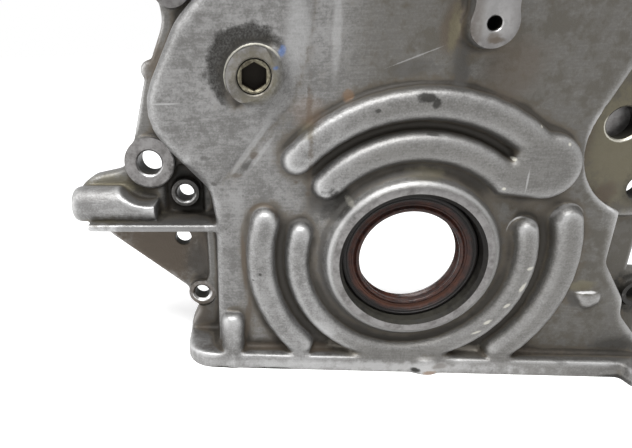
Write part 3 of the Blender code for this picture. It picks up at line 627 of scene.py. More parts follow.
work = bmesh.new()
mouth = RAIL_SCREW_RADIUS + BROKEN_EDGE
for x, depth, length in SILL_SCREWS:
    turn(work, [(mouth, -1), (mouth, 0), (RAIL_SCREW_RADIUS, BROKEN_EDGE), (RAIL_SCREW_RADIUS, length)],
         in_rail(x, depth, 0), UP, sides=32)
for x, depth, length in HEAD_SCREWS:
    turn(work, [(RAIL_SCREW_RADIUS, -length), (RAIL_SCREW_RADIUS, -BROKEN_EDGE), (mouth, 0), (mouth, 1)],
         in_rail(x, depth, HEAD_Z), UP, sides=32)
cut("rail_drills", work, UP)

work = bmesh.new()
mouth = STUB_BORE + 0.6
turn(work, [(mouth, -2), (mouth, 0.3), (STUB_BORE, 0.9), (STUB_BORE, STUB_LENGTH)], STUB_END, RIGHTWARD)
cut("stub_drill", work, RIGHTWARD)
print("machined casting of", triangles(casting), "triangles")

# %% [markdown]
# The crankshaft seal is rubber moulded round a steel case. Its face has fine concentric ridges, a dust
# lip that points forward, and the sealing lip behind it. It is turned from a section through those
# ridges, with enough steps for its round edges to look round.

# %% The seal
SEAL_SECTION = (
    (27.7, 19.0), (27.7, 27.3), (27.5, 27.75), (27.0, 28.0), (26.5, 28.0), (26.3, 27.75), (25.9, 27.7),
    (25.7, 27.95), (25.3, 27.95), (25.1, 27.65), (24.7, 27.55), (24.4, 27.3), (24.1, 27.0), (23.6, 26.9),
    (23.3, 27.15), (22.9, 27.15), (22.6, 26.95), (22.3, 27.2), (21.9, 27.9), (21.5, 28.2), (21.0, 28.25),
    (20.6, 28.0), (20.3, 27.5), (20.35, 26.9), (20.8, 26.3), (21.4, 25.5), (21.5, 24.4), (21.3, 23.6),
    (20.7, 23.0), (20.3, 22.4), (20.35, 22.1), (20.9, 20.9), (21.3, 20.1), (21.65, 20.0), (21.65, 21.4),
    (21.97, 22.55), (22.8, 23.01), (22.4, 24.4), (22.7, 25.5), (23.7, 25.5), (23.7, 26.8), (26.6, 26.8),
    (26.6, 19.0),
)
work = bmesh.new()
turn(work, SEAL_SECTION, AXIS, sides=144, ring=True)
seal = as_object(work, "crank_seal")
print("seal of", triangles(seal), "triangles")

# %% [markdown]
# A garter spring is a long closed coil of thin wire, joined into a ring, that pulls the lip onto the
# shaft. CAD has it as a plain ring. Here it gets its turns: a curve that winds round the ring's line.

# %% The garter spring
SPRING_RADIUS = 22.8
SPRING_DEPTH = 21.4
COIL_RADIUS = 0.62
WIRE_RADIUS = 0.21
COIL_TURNS = 210
COIL_STEPS = 9

coil = bpy.data.curves.new("garter_coil", "CURVE")
coil.dimensions = "3D"
coil.bevel_depth = WIRE_RADIUS * MM
coil.bevel_resolution = 1
line = coil.splines.new("POLY")
line.points.add(COIL_TURNS * COIL_STEPS - 1)
for index, point in enumerate(line.points):
    winding = math.tau * index / COIL_STEPS
    round_ring = math.tau * index / (COIL_TURNS * COIL_STEPS)
    radius = SPRING_RADIUS + COIL_RADIUS * math.cos(winding)
    spot = place(radius * math.cos(round_ring), radius * math.sin(round_ring),
                 SPRING_DEPTH + COIL_RADIUS * math.sin(winding))
    point.co = (*spot, 1)
line.use_cyclic_u = True
wound = show("garter_coil", coil)
spring = show("garter_spring_coil", bpy.data.meshes.new_from_object(
    wound.evaluated_get(bpy.context.evaluated_depsgraph_get())))
bpy.data.objects.remove(wound)
print("spring of", COIL_TURNS, "turns and", triangles(spring), "triangles")

# %% [markdown]
# The screw plug has no head: a steel disc with a hexagon socket, sunk a little into its boss. The socket
# is cut by a six-sided prism, and a shallow cone first breaks its edge, as a broach's pilot hole does.

# %% The screw plug
PLUG_FRONT = 31.4
HEX_CORNER = 9.2 / math.sqrt(3)
HEX_DEPTH = 6.0
# From the plug's inner end round to the cone of its socket.
PLUG_SECTION = (
    (5.5, 21.4), (6.3, 22.2), (6.3, PLUG_FRONT - 0.5), (6.15, PLUG_FRONT - 0.15), (5.8, PLUG_FRONT),
    (5.55, PLUG_FRONT), (5.4, PLUG_FRONT - 0.15), (4.9, PLUG_FRONT - 0.5), (4.4, PLUG_FRONT - 0.7),
)

work = bmesh.new()
turn(work, PLUG_SECTION, place(*PLUG, 0), sides=72)
plug = as_object(work, "hex_plug")
work = bmesh.new()
turns = [math.radians(60 * corner) for corner in range(6)]
rings = [[work.verts.new(place(PLUG[0] + HEX_CORNER * math.sin(angle),
                               PLUG[1] + HEX_CORNER * math.cos(angle), depth)) for angle in turns]
         for depth in (PLUG_FRONT - HEX_DEPTH, PLUG_FRONT + 2)]
for side in range(6):
    after = (side + 1) % 6
    work.faces.new((rings[0][side], rings[0][after], rings[1][after], rings[1][side]))
work.faces.new(rings[0])
work.faces.new(rings[1])
bmesh.ops.recalc_face_normals(work, faces=work.faces)
key = as_object(work, "hex_cutter")
boolean = plug.modifiers.new("socket", "BOOLEAN")
boolean.operation = "DIFFERENCE"
boolean.object = key
settle(plug)
bpy.data.objects.remove(key)
print("plug of", triangles(plug), "triangles")

# %% [markdown]
# Effects that several finishes share are built once as node groups. Cast grain is the fine sandy skin
# and the cloudy, blotchy tone of old cast aluminium: one noise at each of three sizes, and one more that
# is drawn out sideways, for the lines that a cutter or a wiping rag leaves.


# %% Node group: cast grain
def effect(name, inputs, outputs=("Mask",)):
    """An empty node group, with its inner input and output sockets."""
    group = bpy.data.node_groups.new(name, "ShaderNodeTree")
    for label, value in inputs.items():
        kind = "Color" if label == "Colour" else "Vector" if isinstance(value, tuple) else "Float"
        socket = group.interface.new_socket(label, in_out="INPUT", socket_type="NodeSocket" + kind)
        socket.default_value = value
    for label in outputs:
        kind = "Color" if label == "Colour" else "Float"
        group.interface.new_socket(label, in_out="OUTPUT", socket_type="NodeSocket" + kind)
    return group, group.nodes.new("NodeGroupInput").outputs, group.nodes.new("NodeGroupOutput").inputs


def use(tree, group, *values):
    """Place a node group in a tree, with values for its inputs in their order, and give its outputs."""
    made = tree.nodes.new("ShaderNodeGroup")
    made.node_tree = group
    fill(tree, made.inputs, dict(enumerate(values)))
    return made.outputs


cast_grain, given, result = effect(
    "cast_grain", {"Grains per metre": 900.0, "Blotches per metre": 260.0, "Clouds per metre": 60.0},
    ("Grain", "Blotches", "Clouds", "Streaks"))
spot = spot_in(cast_grain)
for index, (detail, roughness) in enumerate(((3.0, 0.65), (5.0, 0.68), (5.0, 0.6))):
    inputs = {"Vector": spot, "Scale": given[index], "Detail": detail, "Roughness": roughness}
    cast_grain.links.new(add(cast_grain, "TexNoise", inputs).outputs[0], result[index])
drawn = add(cast_grain, "Mapping", {"Vector": spot, "Scale": (0.12, 0.5, 1.0)})
streaks = add(cast_grain, "TexNoise", {"Vector": drawn.outputs[0], "Scale": given[0], "Detail": 2.0})
cast_grain.links.new(streaks.outputs[0], result["Streaks"])
print("group", cast_grain.name)

# %% [markdown]
# Oil mixed with dust settles in hollows. The grime group turns the mesh's own measures into a mask: it
# grows with the depth of the valley and at inner corners, more so on faces that look up and catch the
# dust, and noise breaks up its border.


# %% Node group: grime
def measured(name):
    """A group for a mask from the mesh's measures, and the weighed sum of its corners and valleys."""
    group, given, result = effect(
        name, {"Noise": 0.5, "Corner share": 0.5, "Valley share": 0.3, "Start": 0.35, "Softness": 0.4})
    corner = add(group, "Attribute", attribute_name="corner").outputs["Fac"]
    valley = add(group, "Attribute", attribute_name="valley").outputs["Fac"]
    weighed = plus(group, times(group, corner, given["Corner share"]),
                   times(group, valley, given["Valley share"]))
    return group, given, result, weighed


def set_mask(group, given, result, value):
    """Make the group's mask from a value, by its start and softness."""
    end = plus(group, given["Start"], given["Softness"])
    group.links.new(ramp(group, value, given["Start"], end), result["Mask"])


grime, given, result, depth = measured("grime")
catch = ramp(grime, facing(grime, "Z"), 0.0, 0.7, 1.0, 1.7)
depth = times(grime, depth, catch)
set_mask(grime, given, result, plus(grime, depth, minus(grime, given["Noise"], 0.5)))
print("group", grime.name)

# %% [markdown]
# Ridges are rubbed clean and bright, and the same lightening is a painted highlight on their crests. The
# wear group is the opposite of grime: it takes what stands proud.

# %% Node group: wear and painted highlight
wear_and_highlight, given, result, depth = measured("wear_and_highlight")
set_mask(wear_and_highlight, given, result, minus(wear_and_highlight, times(wear_and_highlight, given["Noise"], 0.3), depth))
print("group", wear_and_highlight.name)

# %% [markdown]
# Some dirt has a place of its own: a splash, a scuff, a lump of old sealant, and so do some painted
# highlights and some painted shade. Each of these is a soft oval with a torn edge. Space is moved, turned
# and scaled so that the oval becomes a ball of radius 1, and the distance from its centre then gives the
# mask. Vector Math does this with less of the shader's memory than a Mapping node, which matters when
# there are a hundred marks.

# %% Node group: one oval
NO_VECTOR = (0, 0, 0)
OVAL_EDGE = 1.15

one_oval, given, result = effect("one_oval", {
    "Spot": NO_VECTOR, "Centre": NO_VECTOR, "Turn": 0.0, "Half sizes": NO_VECTOR, "Noise": 0.5, "Tear": 1.4,
    "Softness": 0.5})
offset = vectors(one_oval, "SUBTRACT", given["Spot"], given["Centre"])
turned = add(one_oval, "VectorRotate", {"Vector": offset, "Angle": given["Turn"]}, rotation_type="Y_AXIS")
scaled = vectors(one_oval, "DIVIDE", turned.outputs[0], given["Half sizes"])
reach = vectors(one_oval, "LENGTH", scaled, output="Value")
tear = times(one_oval, minus(one_oval, given["Noise"], 0.5), given["Tear"])
inside = minus(one_oval, 1.0, given["Softness"])
torn = plus(one_oval, reach, tear)
one_oval.links.new(ramp(one_oval, torn, inside, OVAL_EDGE, 1.0, 0.0), result["Mask"])
print("group", one_oval.name)

# %% [markdown]
# The table of stains, painted highlights and painted shade is read off the photograph and turned into
# millimetres on the cover, so each mark sticks to the metal and looks right from every side. Kinds are
# named by colour. One group lays them all over the colour that it is given. A shader has room for only
# so many values at once, so the group puts out nothing but the colour, and how dark a place is with dirt
# and painted shade can be told from its colour.

# %% Node group: all stains, painted highlights and painted shade
MARK_AND_LIGHT_COLOURS = {
    "black": (0.013, 0.012, 0.01), "dark": (0.06, 0.057, 0.053), "brown": (0.085, 0.067, 0.05),
    "olive": (0.13, 0.117, 0.08), "rust": (0.19, 0.115, 0.066), "pale": (0.47, 0.47, 0.47),
    "cream": (0.56, 0.545, 0.48), "blue": (0.06, 0.17, 0.48), "painted_light": (0.19, 0.178, 0.155),
    "white": (0.78, 0.78, 0.78),
}
# Name, x, z, depth, half sizes along x, z and depth, turn in degrees, kind, strength.
MARKS_AND_PAINTED_LIGHT = (
    ("web_film", -110, -6, 3, 30, 24, 7, 0, "brown", 0.9),
    ("web_dirt", -92, -12, 3, 7, 14, 6, 0, "dark", 0.6),
    # Painted shade in the deep pocket beside the body wall.
    ("pocket_shade", -93, 27, 6, 11, 18, 10, 0, "black", 0.8),
    ("flange_edge", -103, 72, 6, 7, 45, 6, 14, "brown", 0.7),
    # Brown dirt and painted shade on the low flange at the lower left.
    ("left_flange_foot", -91, -40, 5, 6, 16, 9, 0, "brown", 0.6),
    # Olive dirt and painted shade under the stub.
    ("stub_underside", -130, 12.5, 9, 24, 4.5, 14, 0, "olive", 0.75),
    ("shelf_film", -104, 11, 22, 30, 3.2, 14, 0, "dark", 0.6),
    ("stub_pad_film", -130, 25, 7, 18, 8, 5, 0, "olive", 0.65),
    ("recess_film", 92, 45, 11, 30, 32, 4, 0, "olive", 0.75),
    ("recess_left_edge", 67, 45, 13, 6, 22, 7, 0, "brown", 0.65),
    ("recess_low_dirt", 81.5, 22.5, 11, 4.2, 6.5, 6, -40, "brown", 0.8),
    # Painted highlight on the lower edge of the recess.
    ("recess_low_glint", 74.9, 22, 24, 5.4, 0.9, 6, -42, "white", 0.5),
    ("recess_hole_dirt", 95.6, 24.6, 11, 8, 8, 3, 0, "black", 0.6),
    # Painted shade: the right boss and the mouth of its hole are painted black.
    ("right_boss_shade", 105.6, -24.4, 11, 12, 12, 9, 0, "black", 0.97),
    ("plug_boss_film", -64.4, 74.7, 32, 11.5, 11.5, 2, 0, "olive", 0.6),
    ("plug_boss_dirt", -66, 71, 32, 8, 6, 2, 0, "dark", 0.5),
    ("top_boss_film", 12.2, 90, 32, 3, 9, 2, 0, "brown", 0.45),
    # Painted sheen on the top boss's face.
    ("top_boss_shine", 18.6, 92, 32, 7, 9, 2, 0, "pale", 0.28),
    ("top_boss_dirt", 18.6, 85.6, 32, 3, 2.2, 2, 0, "brown", 0.6),
    ("pocket_boss_film", -95.8, 23.1, 9.5, 8, 8, 2, 0, "dark", 0.75),
    ("low_boss_film", -90.4, -28.6, 8, 8, 8, 2, 0, "brown", 0.55),
    ("body_foot", -10, -47.2, 24.5, 88, 2.6, 5, 0, "brown", 0.6),
    # Painted light: lifts the triangles between the bead feet and the sill, which the skin leaves deep and
    # shaded.
    ("foot_lift_left", -22.8, -47, 24, 9.5, 5, 7, -15, "painted_light", 0.85),
    ("foot_lift_right", 30.3, -47.6, 24, 7.6, 3, 7, 10, "painted_light", 0.75),
    # Painted highlight along the front of the sill.
    ("sill_shine", -10, -52.2, 33.5, 92, 3.4, 4, 0, "pale", 0.55),
    ("sill_dirt_right", 67.5, -48, 33, 3.4, 1.6, 4, 0, "dark", 0.5),
    ("sill_dirt_mid", 17.3, -51.3, 33, 4.2, 1.8, 4, 0, "brown", 0.5),
    ("scratch_on_panel", -99.1, 64.9, 27, 5.9, 0.4, 9, 0, "pale", 0.45),
    ("pit_high", -84.6, 42.9, 27, 2.2, 1.4, 9, 0, "dark", 0.5),
    ("pit_low", -81.4, 31.5, 27, 1.7, 0.9, 9, -20, "dark", 0.6),
    ("fold_stain", -42.6, 49.6, 25, 1.6, 24, 9, 2, "brown", 0.55),
    ("fold_spot_left", -67.7, 38.7, 26, 3, 1.9, 9, 20, "dark", 0.75),
    ("fold_spot_up", -64.5, 43.6, 26, 2.2, 1.8, 9, 30, "brown", 0.65),
    ("fold_spot_low", -71.9, 34.9, 26, 3, 1.4, 9, 0, "brown", 0.55),
    # Painted highlights along the fold.
    ("fold_glint", -66.8, 45.5, 26, 16, 1.4, 9, 54, "pale", 0.3),
    ("fold_glint_low", -62.6, 43, 26, 13, 1.1, 9, 54, "pale", 0.22),
    ("fold_rust", -43.6, 60.5, 25, 7, 6.5, 9, 0, "rust", 0.2),
    ("fold_olive", -42.9, 52.7, 25, 4.4, 3.8, 9, 0, "olive", 0.4),
    ("fold_spot_mid", -47.4, 31.9, 25, 1, 0.8, 9, 0, "brown", 0.6),
    ("fold_spot_right", -42.4, 26.8, 25, 1.2, 1.1, 9, 0, "brown", 0.6),
    ("blue_dot", -56.3, 77.5, 26.5, 1.5, 1.1, 9, 10, "blue", 0.95),
    ("blue_smear", -54, 83.2, 26, 1.6, 2.4, 9, -15, "blue", 0.4),
    # Painted highlights in long streaks high on the panel.
    ("highlight_streak_left", -48.5, 87.6, 25, 5.5, 18, 9, 0, "pale", 0.3),
    ("highlight_streak_right", -33.9, 88.1, 24, 2.2, 17, 9, 0, "pale", 0.25),
    ("smudge_top", -6.5, 75.8, 24, 9.7, 3.2, 9, 6, "dark", 0.45),
    ("long_scratch", -4.7, 79.8, 24, 12.1, 0.3, 9, 20, "pale", 0.3),
    ("burr_stain", 19.8, 84.9, 32, 2.7, 1.3, 4, 0, "brown", 0.6),
    ("brown_dirt", 6.8, 89, 25, 4.6, 10.5, 9, 0, "brown", 0.75),
    ("olive_dirt", 7.6, 88.5, 25, 2.2, 9, 9, 0, "olive", 0.85),
    ("smear_under_boss", 11.7, 75, 25, 3.6, 10.5, 9, 8, "dark", 0.75),
    ("brown_mottle", 30.6, 75, 24, 12, 12, 9, 0, "brown", 0.5),
    ("orange_speck", -28.5, 66.5, 24, 2.6, 2.6, 9, 30, "rust", 0.5),
    ("crown_scuff", -1, 65.6, 31, 4.2, 2.2, 9, -10, "black", 0.9),
    ("crown_scuff_tail", 2.5, 63.4, 31, 1.7, 2.4, 9, -15, "black", 0.85),
    ("crown_scuff_left", -18.1, 61.3, 30, 1.2, 0.8, 9, 0, "black", 0.75),
    ("crown_scuff_low", 2.8, 52, 30, 3, 0.9, 9, -8, "black", 0.75),
    ("speck_a", 41.6, 54.2, 27, 0.7, 0.7, 9, 0, "cream", 0.8),
    ("speck_b", 52.2, 47.6, 27, 0.7, 0.7, 9, 0, "cream", 0.8),
    ("speck_c", 34.4, 41.8, 30, 0.8, 0.7, 9, 0, "cream", 0.7),
    ("speck_d", 31.7, 30.6, 28, 0.8, 0.7, 9, 0, "cream", 0.7),
    ("pad_line", 39.6, 33.7, 30, 0.4, 5.5, 9, 0, "pale", 0.4),
    ("ring_slope_stain", 2.4, 36.2, 30, 9, 2.8, 9, -3, "olive", 0.55),
    ("smudge_by_ring", -30.5, 23.5, 27, 9, 7.6, 9, -45, "black", 0.92),
    ("smudge_left_of_ring", -38, 22.5, 26, 8, 6.5, 9, -20, "dark", 0.7),
    ("flecks_by_smudge", -26, 25, 29, 1.6, 2.6, 9, 40, "cream", 0.35),
    ("bead_scuffs", -33.7, -33.7, 30, 6.5, 3.6, 9, -38, "pale", 0.35),
    ("cream_a", 47.9, -3.4, 29, 1.6, 0.8, 9, 20, "cream", 0.6),
    ("cream_b", 46.2, -12.4, 29, 0.9, 2.6, 9, -25, "cream", 0.55),
    ("cream_c", 41.4, -20.9, 29, 1.8, 0.7, 9, 40, "cream", 0.6),
    ("cream_d", 35, -29, 29, 2, 0.8, 9, 35, "cream", 0.65),
    ("cream_e", 31, -34.2, 29, 2.4, 0.6, 9, 25, "cream", 0.6),
    ("dot_a", -62.1, -7.2, 26, 0.8, 0.8, 9, 0, "black", 0.8),
    ("dot_b", -65.1, -10.2, 26, 0.7, 0.7, 9, 0, "black", 0.8),
    ("bead_foot_line", -69.1, -3.2, 24, 1.3, 15.5, 9, 3, "brown", 0.8),
    ("bead_foot_low", -67.6, -32.6, 24, 1.6, 15.5, 9, -6, "brown", 0.65),
    # Painted shade: a black spot stands in for a hole in the swell of the sill.
    ("swell_hole", 7, -53.2, 33, 2.5, 1.5, 9, 0, "black", 0.95),
    ("swell_rust", 12.9, -54.1, 33, 3.4, 1.3, 9, 0, "rust", 0.7),
    ("sealant_left", -79.2, -55.3, 31, 4.2, 1.5, 9, 3, "black", 0.95),
    ("sealant_mid", -58.4, -55.2, 31, 11, 1.2, 9, 2, "black", 0.9),
    ("sealant_right", 90, -54.6, 32, 6.5, 1.6, 9, 8, "black", 0.9),
    ("wedge_deposit", 73.6, -14.2, 25, 5.8, 2.7, 9, 6, "olive", 0.7),
    # Painted highlight on the edge by the wedge.
    ("wedge_glint", 75.6, -17.1, 27, 4.8, 0.6, 9, 3, "white", 0.6),
    ("wedge_dirt", 70.9, -20.8, 24, 2.2, 4.2, 9, 25, "dark", 0.65),
    ("right_foot_dirt", 92.5, -43.6, 24, 10, 5, 9, 8, "black", 0.6),
)

# Name, x, z, depth, radius, half width, direction in degrees, least cosine, kind, strength.
RING_MARKS = (
    # Painted highlights round the rim of the seal ring.
    ("seal_rim_highlight", 0, 0, 32, 33.4, 1.3, 120, -2, "white", 0.12),
    ("seal_rim_top_highlight", 0, 0, 32, 33.6, 0.8, 120, -0.1, "white", 0.16),
    # Painted shade in the groove outside the ring, on its left and lower side.
    ("rim_groove_shade", 0, 0, 28, 36.6, 1.2, 200, -0.6, "dark", 0.6),
    # Painted highlight along the upper rim of the plug boss.
    ("plug_boss_rim_highlight", -64.4, 74.7, 31, 11.3, 0.45, 120, -0.1, "cream", 0.55),
    ("plug_boss_film", -64.4, 74.7, 31, 9, 2.2, -30, -0.3, "olive", 0.35),
    # Painted highlight on the lower rim of the lug's hole.
    ("lug_hole_highlight", -110.8, 37.5, 11.5, 6, 0.4, -75, 0.2, "white", 0.5),
    # Painted shadow at the lug's foot.
    ("lug_shadow", -110.8, 37.5, 10, 11.2, 0.6, -40, -0.1, "black", 0.8),
    # Painted highlights on the rims of the pocket hole, the low hole and the socket.
    ("pocket_hole_highlight", -95.8, 23.1, 9.5, 4.6, 0.5, -80, 0.1, "white", 0.4),
    ("low_hole_highlight", -90.4, -28.6, 8, 4.2, 0.8, -80, -0.2, "white", 0.7),
    ("socket_highlight", 82.6, 51.6, 11, 7.1, 0.55, -110, -0.2, "cream", 0.8),
    ("cap_left_outer", -60.9, 16.4, 27, 6, 0.9, 80, 0.1, "brown", 0.75),
    ("cap_left_inner", -44.9, 10.6, 27, 5.3, 0.9, 80, 0.1, "dark", 0.75),
    ("cap_right_inner", 43.4, 11.6, 29, 4.2, 0.9, 110, 0.1, "dark", 0.65),
    ("cap_right_outer", 59.8, 16.2, 29, 4.9, 1, 105, 0.1, "dark", 0.65),
    # Painted highlights in thin arcs above the caps of the right beads.
    ("arc_right_inner_highlight", 43.4, 11.4, 28, 5.8, 0.35, 110, 0.2, "pale", 0.4),
    ("arc_right_outer_highlight", 60.4, 15.8, 28, 6.7, 0.35, 95, 0.2, "pale", 0.4),
)


one_ring, given, result = effect("one_ring", {
    "Spot": NO_VECTOR, "Centre": NO_VECTOR, "Radius": 0.0, "Half width": 0.0, "Direction": NO_VECTOR,
    "Least": 0.0, "Noise": 0.5})
offset, flat, reach = from_centre(one_ring, given["Spot"], given["Centre"])
unit = vectors(one_ring, "NORMALIZE", flat)
towards = vectors(one_ring, "DOT_PRODUCT", unit, given["Direction"], "Value")
off = maths(one_ring, "ABSOLUTE", minus(one_ring, reach, given["Radius"]))
off = maths(one_ring, "DIVIDE", off, given["Half width"])
off = plus(one_ring, off, times(one_ring, minus(one_ring, given["Noise"], 0.5), 1.8))
mask = ramp(one_ring, off, 0.3, 1.2, 1.0, 0.0)
mask = times(one_ring, mask, ramp(one_ring, towards, given["Least"], plus(one_ring, given["Least"], 0.4)))
deep = maths(one_ring, "ABSOLUTE", part_of(one_ring, offset, "Y"))
mask = times(one_ring, mask, ramp(one_ring, deep, 0.003, 0.0045, 1.0, 0.0))
one_ring.links.new(mask, result["Mask"])

marks_and_painted_light, given, result = effect("marks_and_painted_light", {"Colour": (0, 0, 0, 1), "Noise": 0.5}, ("Colour",))
outside = ramp(marks_and_painted_light, facing(marks_and_painted_light, "Y"), 0.35, 0.75, 1.0, 0.0)
colour, noise = given["Colour"], given["Noise"]
spot = spot_in(marks_and_painted_light)
for name, x, z, depth, half_x, half_z, half_depth, angle, kind, strength in MARKS_AND_PAINTED_LIGHT:
    half_sizes = (half_x * MM, half_depth * MM, half_z * MM)
    mask = use(marks_and_painted_light, one_oval, spot, place(x, z, depth), math.radians(angle), half_sizes, noise)["Mask"]
    mask = times(marks_and_painted_light, times(marks_and_painted_light, mask, strength), outside)
    colour = layer(marks_and_painted_light, mask, colour, MARK_AND_LIGHT_COLOURS[kind], name)
for name, x, z, depth, radius, half_width, angle, least, kind, strength in RING_MARKS:
    direction = (math.cos(math.radians(angle)), 0, math.sin(math.radians(angle)))
    mask = use(marks_and_painted_light, one_ring, spot, place(x, z, depth), radius * MM, half_width * MM, direction, least,
               noise)["Mask"]
    colour = layer(marks_and_painted_light, times(marks_and_painted_light, mask, strength), colour, MARK_AND_LIGHT_COLOURS[kind], name)
marks_and_painted_light.links.new(colour, result["Colour"])


def dirt_and_shade_in(tree, colour):
    """How dark a place is with dirt and painted shade, told from its colour: 1 is black."""
    return ramp(tree, add(tree, "RGBToBW", {0: colour}).outputs[0], 0.03, 0.13, 1.0, 0.0)


print("group", marks_and_painted_light.name, "with", len(MARKS_AND_PAINTED_LIGHT), "stains and", len(RING_MARKS), "rings")

# %% [markdown]
# The cast skin starts as mid-grey metal with a cloudy tone. An oil film darkens it to the right and on
# everything that lies low, near the block. Grime goes into the valleys in two passes, a thin brown one
# and a thick dark one, wear and a painted highlight brighten the ridges, and the table of stains, painted
# highlights and painted shade comes last.

# %% The cast skin
CAST_LIGHT = (0.238, 0.236, 0.233)
CAST_DARK = (0.128, 0.125, 0.121)
OIL_FILM = (0.084, 0.078, 0.067)
THIN_GRIME = (0.088, 0.074, 0.056)
THICK_GRIME = (0.026, 0.023, 0.019)
# Rubbed metal on the ridges, bright enough to be a painted highlight on the crests as well.
RUBBED_AND_HIGHLIT = (0.560, 0.560, 0.560)
# Corner share, valley share, start and softness of each mask.
THIN_MASK = (0.9, 0.22, 0.10, 0.50)
THICK_MASK = (1.0, 0.25, 0.45, 0.50)
WEAR_AND_HIGHLIGHT_MASK = (0.8, 0.15, 0.30, 0.90)
# The crescent of dirt is one disc without another: x, z, radius and softness of each.
CRESCENT = ((-67.2, 77.6, 14.9, 0.05), (-60.4, 70.2, 14.8, 0.1))
CRESCENT_TEAR = 0.45

cast_skin, tree, shader = new_material("cast_skin")
grains = use(tree, cast_grain, 1300.0, 300.0, 60.0)
spot = add(tree, "SeparateXYZ", {0: spot_in(tree)}).outputs
tone = plus(tree, times(tree, grains["Clouds"], 0.7), times(tree, grains["Blotches"], 0.7),
            times(tree, grains["Grain"], 0.5), times(tree, grains["Streaks"], 0.3))
colour = layer(tree, ramp(tree, tone, 0.90, 1.30), CAST_DARK, CAST_LIGHT)
film = times(tree, ramp(tree, spot["X"], -0.040, -0.014, 0.0, 0.76),
             ramp(tree, spot["Y"], -0.004, 0.0, 0.5, 1.0))
film = plus(tree, film, ramp(tree, spot["Y"], 0.006, 0.015, 0.0, 0.45))
uneven = plus(tree, grains["Blotches"], grains["Clouds"])
film = maths(tree, "MULTIPLY", film, ramp(tree, uneven, 0.78, 1.22, 0.62, 1.38), clamp=True)
colour = layer(tree, film, colour, OIL_FILM)
thin_mask = use(tree, grime, grains["Blotches"], *THIN_MASK)["Mask"]
thick_mask = use(tree, grime, grains["Clouds"], *THICK_MASK)["Mask"]
wear_and_highlight_mask = use(tree, wear_and_highlight, grains["Grain"], *WEAR_AND_HIGHLIGHT_MASK)["Mask"]
# Ridges lighten with wear, and on the crests this is also a painted highlight.
colour = layer(tree, times(tree, wear_and_highlight_mask, 0.7), colour, RUBBED_AND_HIGHLIT)
colour = layer(tree, times(tree, thin_mask, 0.75), colour, THIN_GRIME)
colour = layer(tree, times(tree, thick_mask, 0.9), colour, THICK_GRIME)
spot = spot_in(tree)
within, without = [
    use(tree, one_oval, spot, place(x, z, 27), 0.0, (size * MM, 9 * MM, size * MM), grains["Blotches"],
        CRESCENT_TEAR, softness)["Mask"] for x, z, size, softness in CRESCENT]
crescent = times(tree, within, minus(tree, 1.0, without))
crescent = times(tree, crescent, ramp(tree, grains["Grain"], 0.3, 0.7, 0.97, 0.75))
colour = layer(tree, crescent, colour, MARK_AND_LIGHT_COLOURS["black"])
colour = use(tree, marks_and_painted_light, colour, grains["Blotches"])["Colour"]
rough = plus(tree, ramp(tree, wear_and_highlight_mask, 0.0, 1.0, 0.42, 0.34), times(tree, grains["Grain"], 0.16))
relief = plus(tree, grains["Grain"], times(tree, grains["Blotches"], 1.6))
fill(tree, shader, {
    "Base Color": colour, "Metallic": ramp(tree, dirt_and_shade_in(tree, colour), 0.0, 1.0, 0.75, 0.05),
    "Specular IOR Level": 0.22, "Roughness": rough, "Normal": bumps(tree, relief, 0.45, 0.3),
})
print("material", cast_skin.name, "with", len(tree.nodes), "nodes")

# %% [markdown]
# Milled faces are smoother and a little purple-grey, with the fine lines of the cutter. The walls of the
# holes are almost black with old oil and painted shade, and dull yellow-green where dirt has dried on them.

# %% Milled faces, and holes dark with oil and painted shade
MILLED_LIGHT = (0.205, 0.199, 0.196)
MILLED_DARK = (0.110, 0.104, 0.101)
HOLE_OIL_AND_SHADE = (0.012, 0.011, 0.010)
HOLE_DRY = (0.034, 0.032, 0.026)

milled_face, tree, shader = new_material("milled_face")
grains = use(tree, cast_grain, 1600.0, 420.0, 140.0)
tone = plus(tree, grains["Clouds"], grains["Blotches"])
colour = layer(tree, ramp(tree, tone, 0.72, 1.2), MILLED_DARK, MILLED_LIGHT)
colour = use(tree, marks_and_painted_light, colour, grains["Blotches"])["Colour"]
fill(tree, shader, {
    "Base Color": colour, "Metallic": ramp(tree, dirt_and_shade_in(tree, colour), 0.0, 1.0, 0.85, 0.1),
    "Specular IOR Level": 0.25, "Roughness": plus(tree, times(tree, grains["Streaks"], 0.2), 0.26),
    "Normal": bumps(tree, grains["Streaks"], 0.25, 0.1),
})

oil_and_shade_hole, tree, shader = new_material("oil_and_shade_hole")
grains = use(tree, cast_grain, 1200.0, 350.0, 120.0)
dried = plus(tree, grains["Blotches"], times(tree, facing(tree, "Z"), 0.35))
fill(tree, shader, {
    "Base Color": layer(tree, ramp(tree, dried, 0.45, 0.95), HOLE_OIL_AND_SHADE, HOLE_DRY),
    "Roughness": ramp(tree, dried, 0.4, 0.9, 0.35, 0.7), "Specular IOR Level": 0.12,
    "Normal": bumps(tree, grains["Blotches"], 0.4, 0.3),
})


def smooth(piece, degrees):
    """Shade a piece smooth, but keep edges sharper than an angle."""
    piece.data.shade_smooth()
    piece.data.set_sharp_from_angle(angle=math.radians(degrees))


casting.data.materials.clear()
for finish in (cast_skin, milled_face, oil_and_shade_hole):
    casting.data.materials.append(finish)
machined = np.zeros(len(casting.data.polygons), dtype=np.float32)
casting.data.attributes["machined"].data.foreach_get("value", machined)
casting.data.polygons.foreach_set("material_index", machined.round().astype(np.int32))
smooth(casting, 32)
print("faces as cast, milled and in holes:", np.bincount(machined.round().astype(int)).tolist())

# %% [markdown]
# Rubber that has sat in hot oil is red-brown towards its lips, and glossy on the lip itself, where oil
# still stands. A lighter red band on the lower half only is painted light, and the outer rim is painted
# nearly black as painted shade. The zones follow the distance from the crank axis.

